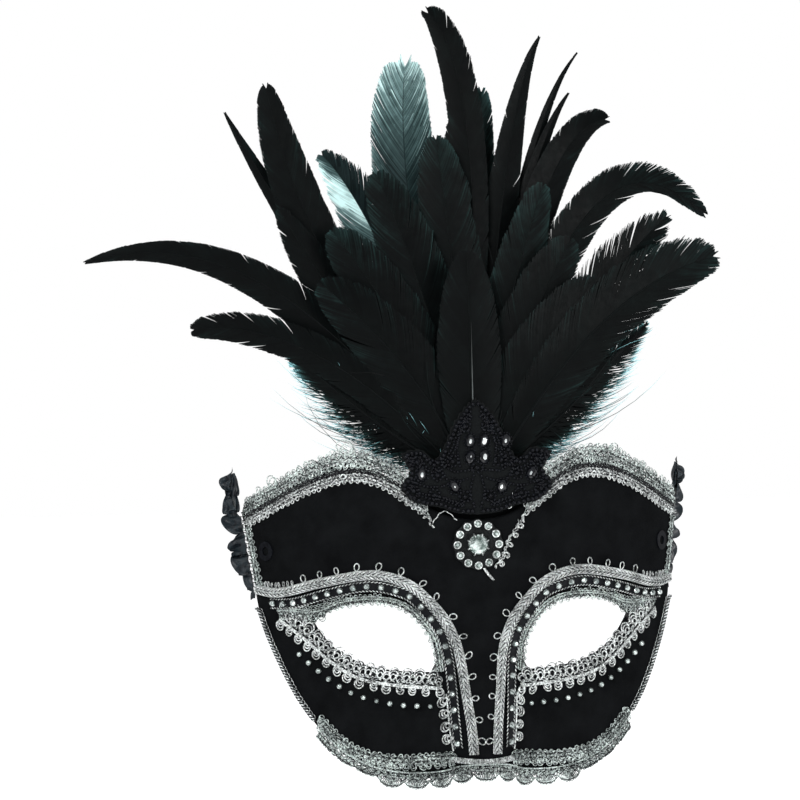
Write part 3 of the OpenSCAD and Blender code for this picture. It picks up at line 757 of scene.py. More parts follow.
def bead(batch, p, u, v, n, r, sides=16, rows=9):
    """A turned bead with a hole along v."""
    hole = 0.24
    turn = np.linspace(math.asin(hole), math.pi - math.asin(hole), rows)
    radius = np.concatenate([[hole * 0.7], np.sin(turn), [hole * 0.7]]) * r
    height = np.concatenate([[math.cos(turn[0]) * 0.6], np.cos(turn), [math.cos(turn[-1]) * 0.6]]) * r
    angle = np.linspace(0, TAU, sides, endpoint=False)
    out = u * np.cos(angle)[:, None] + n * np.sin(angle)[:, None]
    verts = p + out[None] * radius[:, None, None] + v * height[:, None, None]
    caps = fan(sides)
    last = (len(radius) - 1) * sides
    batch.add(verts, grid_quads(len(radius), sides, wrap=True),
              np.vstack([caps[:, ::-1], caps + last]))


BAND_STONES, CHEEK_BEADS = 22, 12


def build_eye_trim(side, mirrored):
    rng = np.random.default_rng(21 if mirrored else 22)
    line = Line(STONE_LINE)
    end = line.length
    band = Batch()
    s = np.linspace(0, end, 220)
    a = np.linspace(-1.6, 1.6, 9)
    crown = 0.35 + 0.2 * np.cos(a / 1.6 * math.pi / 2)
    rows = line.at(s[:, None], a[None], RISE + crown[None] + 0.05 * np.sin(s * 5.2)[:, None])
    band.add(rows, grid_quads(len(s), len(a)))
    obj = band.piece(f"{side}_band", SATIN, "black_satin", f"{side}_eye_band", mirrored=mirrored)
    light, dark = Batch(), Batch()
    for a0, hand in ((-1.78, 1), (1.78, -1)):
        twist(light, line, 0, end, a0, 0.5, 0.17, 1, 0.21, 1.5, hand, 5)
        twist(dark, line, 0, end, a0, 0.5, 0.17, 1, 0.21, 1.5, hand, 5, phase=math.pi)
    light.piece(f"{side}_band_edges", SILVER, "silver_thread", mirrored=mirrored)
    dark.piece(f"{side}_band_dark_edges", BLACK_THREAD, "binding_thread", mirrored=mirrored)

    stones, cups = Batch(), Batch()
    share = np.linspace(0, 1, BAND_STONES)
    places = (0.012 + 0.973 * share * (0.9 + 0.1 * share)) * end
    for place in places:
        q = sample(place, line.s, line.q)
        u, v, n = frame_at(q)
        u, v = turned(u, v, rng.uniform(0, 0.8))
        set_stone(stones, cups, above(q, RISE + 0.6), u, v, unit(n + rng.normal(0, 0.06, 3)), 1.32, 1.3, 7)
    stones.piece(f"{side}_stones", EYE_STONE, "cut_glass", f"{side}_eye_stones", flat=True,
                 mirrored=mirrored)
    cups.piece(f"{side}_stone_cups", DARK_METAL, "brooch_metal", mirrored=mirrored)

    line = Line(UPPER_LACE)
    lace = Batch()
    end = line.length
    scroll(lace, line, 0.5, end - 0.5, -0.55, 1.05, 2.9, 2, 0.14, 1, 0.14, rng, 0.2)
    scroll(lace, line, 0.5, end - 0.5, -0.2, 0.6, 2.1, 1, 0.13, -1, 0.1, rng, 0.2)
    crinkle(lace, line, 0, end, 0.3, 1.15, 1.7, 0.12, rng, 0.35)
    crinkle(lace, line, 0, end, -0.5, 0.9, 2.3, 0.13, rng, 0.5)
    loop_row(lace, line, 22, end, 3.1, 0.1, 2.0, 1, rng, 2, 0.15)
    loop_row(lace, line, 2, 23, 3.1, 0.6, 3.2, 1, rng, 3, 0.17)
    loop_row(lace, line, 3.4, 23, 3.1, 0.2, 2.2, 1, rng, 2, 0.15)
    # Black thread crinkled under the lace: painted shade between its wires.
    dark = Batch()
    crinkle(dark, line, 0, end, -0.2, 1.3, 1.5, 0.2, rng, 0)
    crinkle(dark, line, 0, end, 0.5, 1.0, 1.9, 0.17, rng, 0.3)
    crinkle(dark, line, 1, 23, 1.9, 1.1, 1.7, 0.17, rng, 0.1)
    painted_shade_threads(f"{side}_lace_shade", dark, mirrored)
    twist(lace, line, 0, end, -0.3, 0.62, 0.14, 2, 0.19, 1.3, 1, 5)
    twist(lace, line, 0, end, -1.2, 0.35, 0.12, 2, 0.16, 1.0, -1, 5)
    crinkle(lace, line, 1, end * 0.55, -1.9, 1.1, 1.9, 0.15, rng, 0.2)
    crinkle(lace, line, 3, end * 0.4, -2.6, 0.9, 1.7, 0.14, rng, 0.1)
    lace.piece(f"{side}_upper_lace", SILVER_LACE, "silver_lace", f"{side}_upper_eye_lace",
               mirrored=mirrored)

    line = Line(GIMP_LINE)
    gimp = Batch()
    end = line.length + 2.2
    loop_row(gimp, line, 3.0, end, 5.3, 1.3, 5.1, -1, rng, 3, 0.26)
    loop_row(gimp, line, 5.6, end, 5.3, 0.6, 3.6, -1, rng, 2, 0.22)
    loop_row(gimp, line, 0.8, end, 5.3, -0.2, 4.0, 1, rng, 3, 0.26)
    crinkle(gimp, line, 1, end, -1.6, 1.0, 2.2, 0.16, rng, 0.5)
    # Black loops and crinkles under the gimp: painted shade between its silver loops.
    dark = Batch()
    loop_row(dark, line, 3.4, end, 5.3, 0.9, 4.6, -1, rng, 2, 0.24)
    crinkle(dark, line, 0, end, -2.6, 1.3, 2.3, 0.2, rng, -0.1)
    crinkle(dark, line, 0, end, 1.2, 1.2, 2.1, 0.2, rng, -0.1)
    crinkle(dark, line, 0, end, -1.2, 0.9, 2.1, 0.2, rng, -0.1)
    painted_shade_threads(f"{side}_gimp_shade", dark, mirrored)
    for a0, hand in ((0.7, 1), (0.0, -1)):
        twist(gimp, line, 0, end, a0, 1.0, 0.18, 2, 0.22, 1.9, hand, 6)
    crinkle(gimp, line, 0, end, 0.3, 0.8, 2.6, 0.15, rng, 0.9)
    gimp.piece(f"{side}_lower_gimp", SILVER, "silver_thread", f"{side}_lower_eye_gimp", mirrored=mirrored)

    line = Line(BEAD_LINE)
    beads = Batch()
    for s in np.linspace(0, line.length, CHEEK_BEADS):
        q = sample(s, line.s, line.q)
        bead(beads, above(q, RISE + 1.0), *frame_at(q), 1.05 + rng.normal(0, 0.06))
    beads.piece(f"{side}_beads", PEARL, "pearl_bead", f"{side}_cheek_beads", mirrored=mirrored)

    line = Line(NOSE_GIMP_LINE)
    gimp = Batch()
    loop_row(gimp, line, 1.2, line.length, 5.0, -1.9, 4.5, 1, rng, 3, 0.26)
    twist(gimp, line, -1, line.length + 1, -1.5, 0.8, 0.16, 2, 0.22, 1.4, 1, 6)
    gimp.piece(f"{side}_nose_loops", SILVER, "silver_thread", f"{side}_nose_gimp", mirrored=mirrored)


def lace_row(batch, line, s0, s1, rng, r=0.75, pitch=2.2, wire=0.16):
    """One row of braid: small scrolls on both sides of a twisted heart, with loose threads over it."""
    scroll(batch, line, s0, s1, 0.1, r, pitch, 2, wire, 1, 0.1, rng, 0.16)
    scroll(batch, line, s0, s1, -0.1, r, pitch, 2, wire, -1, 0.1, rng, 0.16)
    twist(batch, line, s0, s1, 0.0, 0.75, 0.18, 2, 0.22, 1.5, 1, 6)
    crinkle(batch, line, s0, s1, 0.0, 1.5, 1.9, 0.15, rng, 0.5)
    loop_row(batch, line, s0 + 0.5, s1, 2.7, 0.2, 2.1, 1, rng, 1, 0.2)
    loop_row(batch, line, s0 + 1.6, s1, 2.9, 0.2, 2.0, -1, rng, 1, 0.2)


def shade_row(batch, line, s0, s1, rng, wide=1.5):
    """Black thread to and fro behind a row of braid, as painted shade under the silver."""
    for a0 in (-0.55 * wide, 0.0, 0.55 * wide):
        crinkle(batch, line, s0, s1, a0, 0.75 * wide, 1.5, 0.19, rng, -0.05)
    crinkle(batch, line, s0, s1, 0.2, 0.8 * wide, 3.1, 0.16, rng, 0.75)


def build_edges(side, mirrored):
    rng = np.random.default_rng(31 if mirrored else 32)
    low, high = Line(TOP_LOW_ROW), Line(TOP_HIGH_ROW)
    top, bright = Batch(), Batch()
    lace_row(bright, low, 0, low.length, rng)
    lace_row(top, high, 0, high.length, rng)
    for a0 in (-0.6, 0.5):
        twist(bright, low, low.length - 3, low.length + 1.6, a0, 0.5, 0.16, 2, 0.2, 1.4, 1, 6)
    crinkle(top, low, 3, low.length - 2, 2.9, 1.1, 2.4, 0.13, rng)
    crinkle(top, high, 3, high.length - 2, -2.6, 0.9, 2.1, 0.13, rng)
    crinkle(top, high, 1, high.length - 1, 2.0, 1.0, 1.7, 0.14, rng, 0.3)
    side_up = -1 if high.c[350, 1] < 0 else 1
    # Black thread under both rows: painted shade between and under the lace's wires.
    shade = Batch()
    shade_row(shade, high, 0, high.length, rng, 1.9)
    shade_row(shade, low, 0, low.length, rng, 1.0)
    for a0 in (1.9, 2.5, 3.1):
        crinkle(shade, low, 3, low.length - 1, a0 * side_up, 0.7, 1.7, 0.2, rng, 0.35)
    crinkle(shade, high, 1, high.length - 1, 2.6 * side_up, 1.3, 1.9, 0.17, rng)
    painted_shade_threads(f"{side}_top_shade", shade, mirrored)
    loop_row(top, high, 2, high.length, 3.4, 0.8, 3.0, side_up, rng, 2, 0.2)
    loop_row(top, high, 1, high.length, 3.1, 0.8, 3.1, -side_up, rng, 2, 0.19)
    for share in np.linspace(0.04, 0.95, 24):
        wire_loop(top, high, share * high.length, 1.4, 2.6 + rng.normal(0, 0.5), 0.17, 0.2,
                  rng.normal(0, 0.6), 0.9, side_up)
    for share, size in ((0.3, 6.4), (0.74, 5.4)) if mirrored else ((0.4, 4.2), (0.62, 3.6)):
        for k in range(2):
            wire_loop(top, high, share * high.length + k * 1.3, 0.9, size * (1 - 0.22 * k), 0.24, 0.3,
                      0.15 - 0.5 * k, 1.15, side_up)
    for k in range(3):
        crinkle(top, low, -2.5 + k, 5 + k, -0.8 + 0.9 * k, 1.2, 1.6, 0.15, rng, 0.5)
    bright.piece(f"{side}_top_inner_row", SILVER, "silver_lace", mirrored=mirrored)
    top.piece(f"{side}_top_lace", SILVER_LACE, "silver_lace", f"{side}_top_braid", mirrored=mirrored)

    line = Line(SIDE_LINE)
    strip = Batch()
    lace_row(strip, line, -2.5, line.length + 2.5, rng, 0.62, 1.8, 0.14)
    # Black thread under the side strip: painted shade.
    shade = Batch()
    shade_row(shade, line, -2, line.length + 2, rng, 1.0)
    painted_shade_threads(f"{side}_side_shade", shade, mirrored)
    strip.piece(f"{side}_side_lace", SILVER_LACE, "silver_lace", f"{side}_side_braid", mirrored=mirrored)

    line = Line(EDGING_LINE)
    light, dark = Batch(), Batch()
    for batch, phase in ((light, 0.0), (dark, math.pi / 2)):
        twist(batch, line, -2, line.length + 1, 0.0, 0.95, 0.42, 2, 0.36, 2.8, 1, 6, phase=phase)
    scroll(light, line, -1, line.length, -0.3, 0.5, 1.8, 1, 0.13, -1, 0.1, rng)
    light.piece(f"{side}_edge_silver", SILVER, "silver_thread", f"{side}_cheek_edging", mirrored=mirrored)
    dark.piece(f"{side}_edge_black", BLACK_THREAD, "binding_thread", mirrored=mirrored)


LOBES = 15


def build_chin():
    rng = np.random.default_rng(41)
    # shade gathers black thread laid as painted shade under the chin's silver lace.
    inner, lace, shade = Batch(), Batch(), Batch()
    for sign in (1, -1):
        row = Line([[x * sign, z] for x, z in CHIN_ROW])
        lace_row(inner, row, -1, row.length, rng, 0.8, 2.2, 0.17)
        crinkle(inner, row, 0, row.length, 2.4 * sign, 1.3, 2.0, 0.16, rng)
        loop_row(inner, row, 1, row.length, 3.2, 0.8, 3.0, sign, rng, 2, 0.19)
        shade_row(shade, row, 0, row.length, rng, 1.9)
    whole = Line(CHIN_LOBES + [[-x, z] for x, z in CHIN_LOBES[-2::-1]])
    end = whole.length
    scroll(lace, whole, 0, end, -1.9, 1.0, 2.5, 2, 0.16, 1, 0.1, rng, 0.14)
    twist(lace, whole, 0, end, -2.1, 0.6, 0.18, 2, 0.22, 1.6, 1, 6)
    twist(lace, whole, 0, end, 0.0, 0.7, 0.16, 2, 0.2, 1.4, -1, 6)
    crinkle(lace, whole, 1, end - 1, -1.0, 1.1, 1.8, 0.15, rng, 0.4)
    loop_row(lace, whole, 1, end, 3.0, 0.1, 1.7, 1, rng, 2, 0.2)
    shade_row(shade, whole, 0, end, rng, 2.2)
    for k in range(LOBES):
        middle = (k + 0.5) / LOBES * end
        half = end / LOBES / 2
        reach = 3.9 if abs(k - (LOBES - 1) / 2) < 4.6 else 1.3
        # Black ribs between the silver ones, and the black middle rim below, are painted shade in the
        # scallops.
        for batch, ribs, r in ((lace, 15, 0.19), (shade, 14, 0.17)):
            for t in np.linspace(-1, 1, ribs):
                swell = math.sqrt(max(0.0, 1 - 0.85 * t * t)) * (1 + rng.normal(0, 0.03))
                rib = np.linspace(0, 1, 12)
                place = middle + t * half * (0.55 + 0.43 * rib)
                lift = RISE + 0.2 + 0.25 * np.sin(3 * rib)
                batch.tube(whole.at(place, 0.1 + reach * swell * rib, lift), r, 5)
        rim = np.linspace(-1, 1, 40)
        for layer_no in range(3):
            out = 0.5 + (reach - 0.6 * layer_no) * np.sqrt(np.maximum(0, 1 - rim**2 * 0.95))
            out = out + 0.14 * np.sin(rim * 26 + layer_no)
            (shade if layer_no == 1 else lace).tube(
                whole.at(middle + rim * half * 0.97, out, RISE + 0.4 + 0.1 * layer_no), 0.23, 5)
    painted_shade_threads("chin_shade", shade)
    inner.piece("chin_inner_rows", SILVER_LACE, "silver_lace")
    lace.piece("chin_scallops", SILVER_LACE, "silver_lace", "chin_lace")
    strip = Batch()
    arch = Line([[-13, -46.4], [0, -46.9], [13, -46.4]])
    for k in range(5):
        strip.tube(arch.at(np.linspace(0, arch.length, 30), -0.9 + 0.45 * k, RISE + 0.3), 0.21, 6)
    strip.piece("nose_arch_strip", SILVER, "silver_thread")


# ---------------------------------------------------------------- applique and brooch

APPLIQUE = [[0, 48.8], [8, 49.6], [15, 52], [24, 54], [30, 60], [26.5, 66], [29.5, 73], [21.5, 74.5],
            [17, 70], [12.5, 76], [9, 84], [4, 91], [0, 94]]
CABOCHONS = [[3, 77.6], [-2.5, 77.6], [3, 71.4], [-2.5, 71.4], [-21.8, 65], [21.5, 64.6], [11.5, 77.4],
             [-9, 60], [9.8, 59.6]]
# Strings of small beads, and the middles of the beaded flowers, on one half
SPRIGS = [
    [[6.6, 68], [7.6, 74.5], [6.4, 81], [2.5, 87.5]], [[2, 66.5], [9, 66], [15, 69.5], [20, 71.5]],
    [[4, 63], [13, 60.5], [19.5, 60.2], [26, 62.5]], [[1.2, 52], [2.8, 57.5], [1.5, 64]],
    [[5.5, 52.5], [12, 55], [17.5, 57]], [[13, 72.5], [14, 67], [12, 63]], [[3, 82], [4.5, 86], [2, 89]],
]
ROSETTES = [(9.5, 70), (15.6, 64.6), (23.5, 70), (17, 57), (5, 56), (4.5, 83.5), (25, 58.5), (0, 67.3)]
# The outline is star-shaped about this point
APPLIQUE_FOOT = np.array([0, 52.5])
APPLIQUE_Y = -2.2
FRONT_U, FRONT_V, FRONT_N = np.array([1.0, 0, 0]), np.array([0, 0, 1.0]), np.array([0, -1.0, 0])


def front(x, y, z):
    return np.stack(np.broadcast_arrays(np.asarray(x, float), y, z), -1)


def evenly(points, pitch):
    p = smooth(points, 400)
    s = run(p)
    return sample(np.linspace(0, s[-1], max(2, int(s[-1] / pitch))), s, p)


def inset(points, depth):
    """A curve moved sideways into the outline it bounds."""
    p = smooth(points, 200)
    way = unit(np.gradient(p, axis=0))
    return p + np.stack([-way[:, 1], way[:, 0]], -1) * depth


def build_applique():
    rng = np.random.default_rng(51)
    felt, beads, stones, surrounds, glints = Batch(), Batch(), Batch(), Batch(), Batch()
    half = smooth(APPLIQUE, 150)
    ring = np.vstack([half, half[-2:0:-1] * [-1, 1]])
    scallop = 1 + 0.012 * np.cos(np.linspace(0, TAU * 64, len(ring)))
    rows = []
    for share, depth in ((0.0, -0.95), (0.99, -1.0), (1.0, -0.8), (1.0, -0.25), (0.985, 0.0), (0.9, 0.06),
                         (0.5, 0.12), (0.0, 0.12)):
        flat = APPLIQUE_FOOT + (ring - APPLIQUE_FOOT) * (share * scallop)[:, None]
        rows.append(front(flat[:, 0], APPLIQUE_Y - depth, flat[:, 1]))
    felt.add(rows, grid_quads(len(rows), len(ring), wrap=True)[:, ::-1])
    felt.piece("applique_felt", FELT, "black_felt", "applique_base")

    def string(points, pitch, r, jitter=0.12):
        for sign in (1, -1):
            for x, z in evenly(points, pitch):
                if x < -0.2 or sign < 0 and abs(x) < r:
                    continue
                p = front(sign * x + rng.normal(0, jitter), APPLIQUE_Y - r * 0.9 + rng.normal(0, 0.08),
                          z + rng.normal(0, jitter))
                u, v = turned(FRONT_U, FRONT_V, rng.uniform(0, math.pi))
                bead(beads, p, u, v, FRONT_N, r * (1 + rng.normal(0, 0.05)), 12, 7)

    string(inset(APPLIQUE, 1.2)[6:-8], 1.75, 0.82)
    for depth in (2.9, 4.2):
        string(inset(APPLIQUE, depth)[14:-20], 1.3, 0.55)
    for points in SPRIGS:
        string(points, 1.25, 0.58)
    turn = np.linspace(0, TAU, 9)
    for x, z in ROSETTES:
        string(np.stack([x + 2.1 * np.cos(turn), z + 2.1 * np.sin(turn)], -1), 1.3, 0.6, 0.08)
        string([[x, z], [x + 0.1, z]], 1, 0.85)
    beads.piece("applique_seed_beads", JET, "jet_bead", "applique_beads")

    for k, (x, z) in enumerate(CABOCHONS):
        lean = unit(FRONT_N + np.array([rng.normal(0, 0.08), 0, rng.normal(0.02, 0.08)]))
        u = unit(np.cross(FRONT_V, lean) * -1)
        u, v = turned(u, np.cross(lean, u), rng.normal(0, 0.3))
        place = front(x, APPLIQUE_Y - 0.1, z)
        brilliant(stones, place, -u * 0.78, v * 1.05, lean, 2.6, 1.7, 6, 0.66)
        # Each glint is a small bright facet on the stone's table, a painted highlight, sized by shine.
        shine = (1.05, 0.7, 0.9, 0.35, 0.75, 0.6, 0.6, 0.35, 0.7)[k]
        brilliant(glints, place + lean * 1.66, -u * 0.7, v * 1.15, lean, 1.15 * shine, 0.25, 6, 0.8)
        for j in range(14):
            a = TAU * j / 14
            ringed = front(x + 2.5 * math.cos(a), APPLIQUE_Y - 0.35, z + 3.2 * math.sin(a))
            bead(surrounds, ringed, FRONT_U, FRONT_V, FRONT_N, 0.42, 10, 5)
    stones.piece("applique_stones", JET_STONE, "jet_glass", "applique_cabochons", flat=True)
    surrounds.piece("applique_surrounds", JET, "jet_bead")
    glints.piece("applique_glints", GLINT, "cut_glass", flat=True)


def build_stray_wires():
    """Loose ends of silver wire from the braids, round the brooch and over the applique's foot."""
    rng = np.random.default_rng(53)
    wire = Batch()
    trail = Line([[17, 46], [14.8, 42], [12, 38], [9.8, 32], [6.4, 28]])
    for a0, size in ((0.3, 0.8), (-0.3, 0.6)):
        crinkle(wire, trail, 0, trail.length, a0, size, 2.3, 0.2, rng)
    loop_row(wire, trail, 2, trail.length, 4.1, 0.1, 2.1, 1, rng, 2, 0.2)
    tongue = Line([[1.6, 28.2], [3.4, 25.6], [5.8, 22.6]])
    for a0, r in ((0, 0.42), (0.45, 0.22)):
        path = tongue.at(np.linspace(0, tongue.length, 24), a0, RISE + r)
        wire.tube(path, r * (1 - np.linspace(-0.9, 0.9, 24) ** 2) + 0.06, 7)
    for points, size, h, strands in (([[-17.6, 45.6], [-14, 50], [-11, 49.6], [-8, 46.6]], 0.25, 0.2, 1),
                                     ([[17, 57.6], [13.4, 56.4], [14.6, 53.6], [11.2, 50.4]], 0.9, 2.1, 1),
                                     ([[-20.5, 48.6], [-18.4, 46.4], [-17.4, 43.8]], 0.9, 0.3, 3),
                                     ([[21, 50.4], [18.6, 48.4], [17, 45.6]], 0.9, 0.3, 3)):
        line = Line(points)
        for k in range(strands):
            crinkle(wire, line, 0, line.length, 0.3 * k, size, 2.6, 0.22, rng, h + 0.2 * k)
    wire.piece("stray_wires", SILVER, "silver_thread")


BROOCH_Z = 37.0


def build_brooch():
    y = float(face(np.array([0.0, BROOCH_Z]))[1]) - 0.35
    centre = front(0, y, BROOCH_Z)
    metal, stones, rims = Batch(), Batch(), Batch()
    turn = np.linspace(0, TAU, 96, endpoint=False)
    profile = [(0.0, 0.0), (9.4, 0.0), (9.9, 0.2), (9.95, 0.5), (9.6, 0.8), (8.2, 0.62), (6.7, 0.8),
               (6.1, 1.1), (4.6, 1.15), (0.0, 1.1)]
    wave = 1 + 0.035 * np.cos(12 * turn)
    rows = []
    for r, h in profile:
        grow = wave if r > 7 else 1
        rows.append(front(r * grow * np.cos(turn), y - h, BROOCH_Z + r * grow * np.sin(turn)))
    metal.add(rows, grid_quads(len(profile), len(turn), wrap=True)[:, ::-1])
    for k in range(12):
        a = TAU * k / 12
        p = centre + front(8.2 * math.sin(a), -0.7, 8.2 * math.cos(a))
        u, v = turned(FRONT_U, FRONT_V, a)
        set_stone(stones, metal, p, u, v, FRONT_N, 1.1, 1.3, 8)
        ring_torus(rims, p + FRONT_N * 0.55, u, v, FRONT_N, 1.32, 0.26, 24, 8)
        for j in range(3):
            b = a + (j + 1) * math.pi / 24
            grain = centre + front(6.1 * math.sin(b), -1.15, 6.1 * math.cos(b))
            bead(metal, grain, FRONT_U, FRONT_V, FRONT_N, 0.3, 8, 5)
    brilliant(stones, centre + front(0, -1.1, 0), FRONT_U, FRONT_V * -1, FRONT_N, 4.0, 2.6, 10, 0.5)
    ring_torus(metal, centre + front(0, -1.4, 0), FRONT_U, FRONT_V, FRONT_N, 4.2, 0.3, 48, 10)
    for k in range(8):
        a = TAU * (k + 0.5) / 8
        way = FRONT_U * math.cos(a) + FRONT_V * math.sin(a)
        foot, tip = centre + way * 4.5 + front(0, -1.2, 0), centre + way * 3.3 + front(0, -3.2, 0)
        rims.tube(np.array([foot, (foot + tip) / 2 + way * 0.5, tip]), 0.26, 7, up=np.cross(FRONT_N, way))
    metal.piece("brooch_setting", DARK_METAL, "brooch_metal", "brooch_plate")
    rims.piece("brooch_rims", SILVER, "silver_thread")
    stones.piece("brooch_stones", STONE, "cut_glass", "brooch_centre_stone", "brooch_ring_stones",
                 flat=True)


# ---------------------------------------------------------------- ruffles

GATHERS = [[-0.06, 1.3], [0.1, 1.9], [0.22, 2.2], [0.34, 3], [0.48, 4.4], [0.64, 4.2], [0.76, 2.9],
           [0.92, 4.3], [1.08, 4.4], [1.22, 3.2], [1.36, 3.6], [1.5, 2.4], [1.58, 1]]
STITCH_GAP = 2.0
# Leaves of ribbon: place on the stitched line, offset, lean, length, half width
LEAVES = [(1.02, 4.0, -8, 13.5, 2.9), (1.22, 2.6, -2, 9.5, 2.2), (0.86, 4.4, -20, 8, 2.6),
          (0.5, 4.4, -160, 8.5, 2.8), (0.3, 3.6, -172, 8, 2.0)]


def build_ruffle(side, mirrored):
    """Gathered ribbon, pleated along the stitched line, with separate leaves where it stands wide."""
    rng = np.random.default_rng(61 if mirrored else 62)
    swing = math.radians(20 if mirrored else 0)

    def edge(x, z):
        q = np.array([x, z])
        return (face(q) + face(q, -COVER_T)) / 2

    top, low = edge(89.0, 49.0), edge(84.4, 17.0)
    along = unit(top - low)
    n = outward(np.array([88.0, 40.0]))
    back = np.cross(along, n)
    way = back * math.cos(swing) + n * math.sin(swing)
    across = np.cross(along, way)
    fine = smooth(GATHERS, 700)
    share, r = fine[:, 0], fine[:, 1]
    length = np.linalg.norm(top - low)
    s = share * length
    rows = 17
    v = np.linspace(0, 1, rows)
    pleats = TAU * np.cumsum(np.gradient(s) / (8.5 + 1.5 * np.sin(s * 0.4)))
    knots = np.linspace(0, len(s) - 1, 26)
    drift = np.interp(np.arange(len(s)), knots, rng.normal(0, 0.5, 26))
    petal = 0.55 + 0.6 * np.abs(np.cos(pleats * 0.5 + 0.4)) ** 0.5
    clear = 3.4 * np.sin(math.pi * np.clip((share - 0.92) / 0.66, 0, 1)) + 0.5 * np.sin(s * 0.8) ** 2
    reach = STITCH_GAP * 0.7 + clear[:, None] + (2 * r * petal - clear)[:, None] * v[None]
    fold = (r[:, None] * 0.35 * np.sin(pleats + drift)[:, None] * np.sin(math.pi * np.clip(v, 0, 0.62))[None]
            + r[:, None] * 0.25 * np.sin(pleats * 2.4 + 2 * drift)[:, None] * np.sin(math.pi * v)[None])
    curl = 0.6 * r[:, None] * np.sin(3.2 * v + 0.5 * drift[:, None]) * v[None] ** 2
    slip = 0.9 * np.cos(pleats + drift)[:, None] * v[None] + 1.4 * np.sin(s * 0.45)[:, None] * v[None] ** 2
    place = (low + along * (s[:, None] + slip)[..., None] + way * reach[..., None]
             + across * (0.8 * fold + curl)[..., None])
    ribbon = Batch()
    ribbon.add(place, grid_quads(len(s), rows))
    u, w = np.linspace(0, 1, 24)[:, None], np.linspace(-1, 1, 15)[None]
    for foot_s, off, lean, long, wide in LEAVES:
        a = math.radians(lean)
        ahead, out = along * math.cos(a) - way * math.sin(a), way * math.cos(a) + along * math.sin(a)
        spread = wide * (0.35 + 0.65 * np.sin(math.pi * np.clip(u, 0, 0.93) ** 0.9) ** 0.7) * w
        cup = 1.3 * (1 - w**2) * np.sin(math.pi * u) + 0.35 * np.sin(5 * w + 7 * u)
        leaf = (low + along * (foot_s * length) + way * off + ahead * (u * long + 0 * w)[..., None]
                + out * spread[..., None] + across * (cup + 0.6)[..., None])
        ribbon.add(leaf, grid_quads(24, 15))
    obj = ribbon.piece(f"{side}_ribbon", RUFFLE_SATIN, "black_satin", f"{side}_ribbon_ruffle",
                       body=f"{side}_ruffle", mirrored=mirrored)
    stitches = Batch()
    for k, place_s in enumerate(np.arange(0.5, length, 1.6)):
        foot = low + along * place_s + across * 0.6 * (-1) ** k
        path = [foot - way * 0.9, foot + along * 0.4 + way * 0.5, foot + along * 0.9 + way * 1.9]
        stitches.tube(path, 0.2, 6, up=across)
    stitches.piece(f"{side}_ruffle_stitches", BLACK_THREAD, "black_satin", body=f"{side}_ruffle",
                   mirrored=mirrored)


# ---------------------------------------------------------------- feathers

ROOT_Z = 66.4
LAYER_PITCH, FRONT_Y = 0.42, 1.4
FRONT_LEAN, LEAN_STEP = 1.0, 0.75
WRAP_BACK, WRAP_REACH = 22.0, 50.0
ROLL_Y, ROLL_Z, ROLL_R = 5.2, 61.5, 4.6
ROLL_TURNS = 46
BARB_PITCH, BARB_POINTS, BARB_HALF_W = 0.28, 8, 0.26


def spray_y(layer_no, x, z):
    lean = math.tan(math.radians(FRONT_LEAN + layer_no * LEAN_STEP))
    return (FRONT_Y + layer_no * LAYER_PITCH + WRAP_BACK * (1 - np.exp(-((x / WRAP_REACH) ** 2)))
            + (z - ROOT_Z) * lean)


def vane(t, w, a, b):
    top = (a / (a + b)) ** a * (b / (a + b)) ** b
    t = np.clip(t, 1e-4, 1 - 1e-4)
    return w * t**a * (1 - t) ** b / top


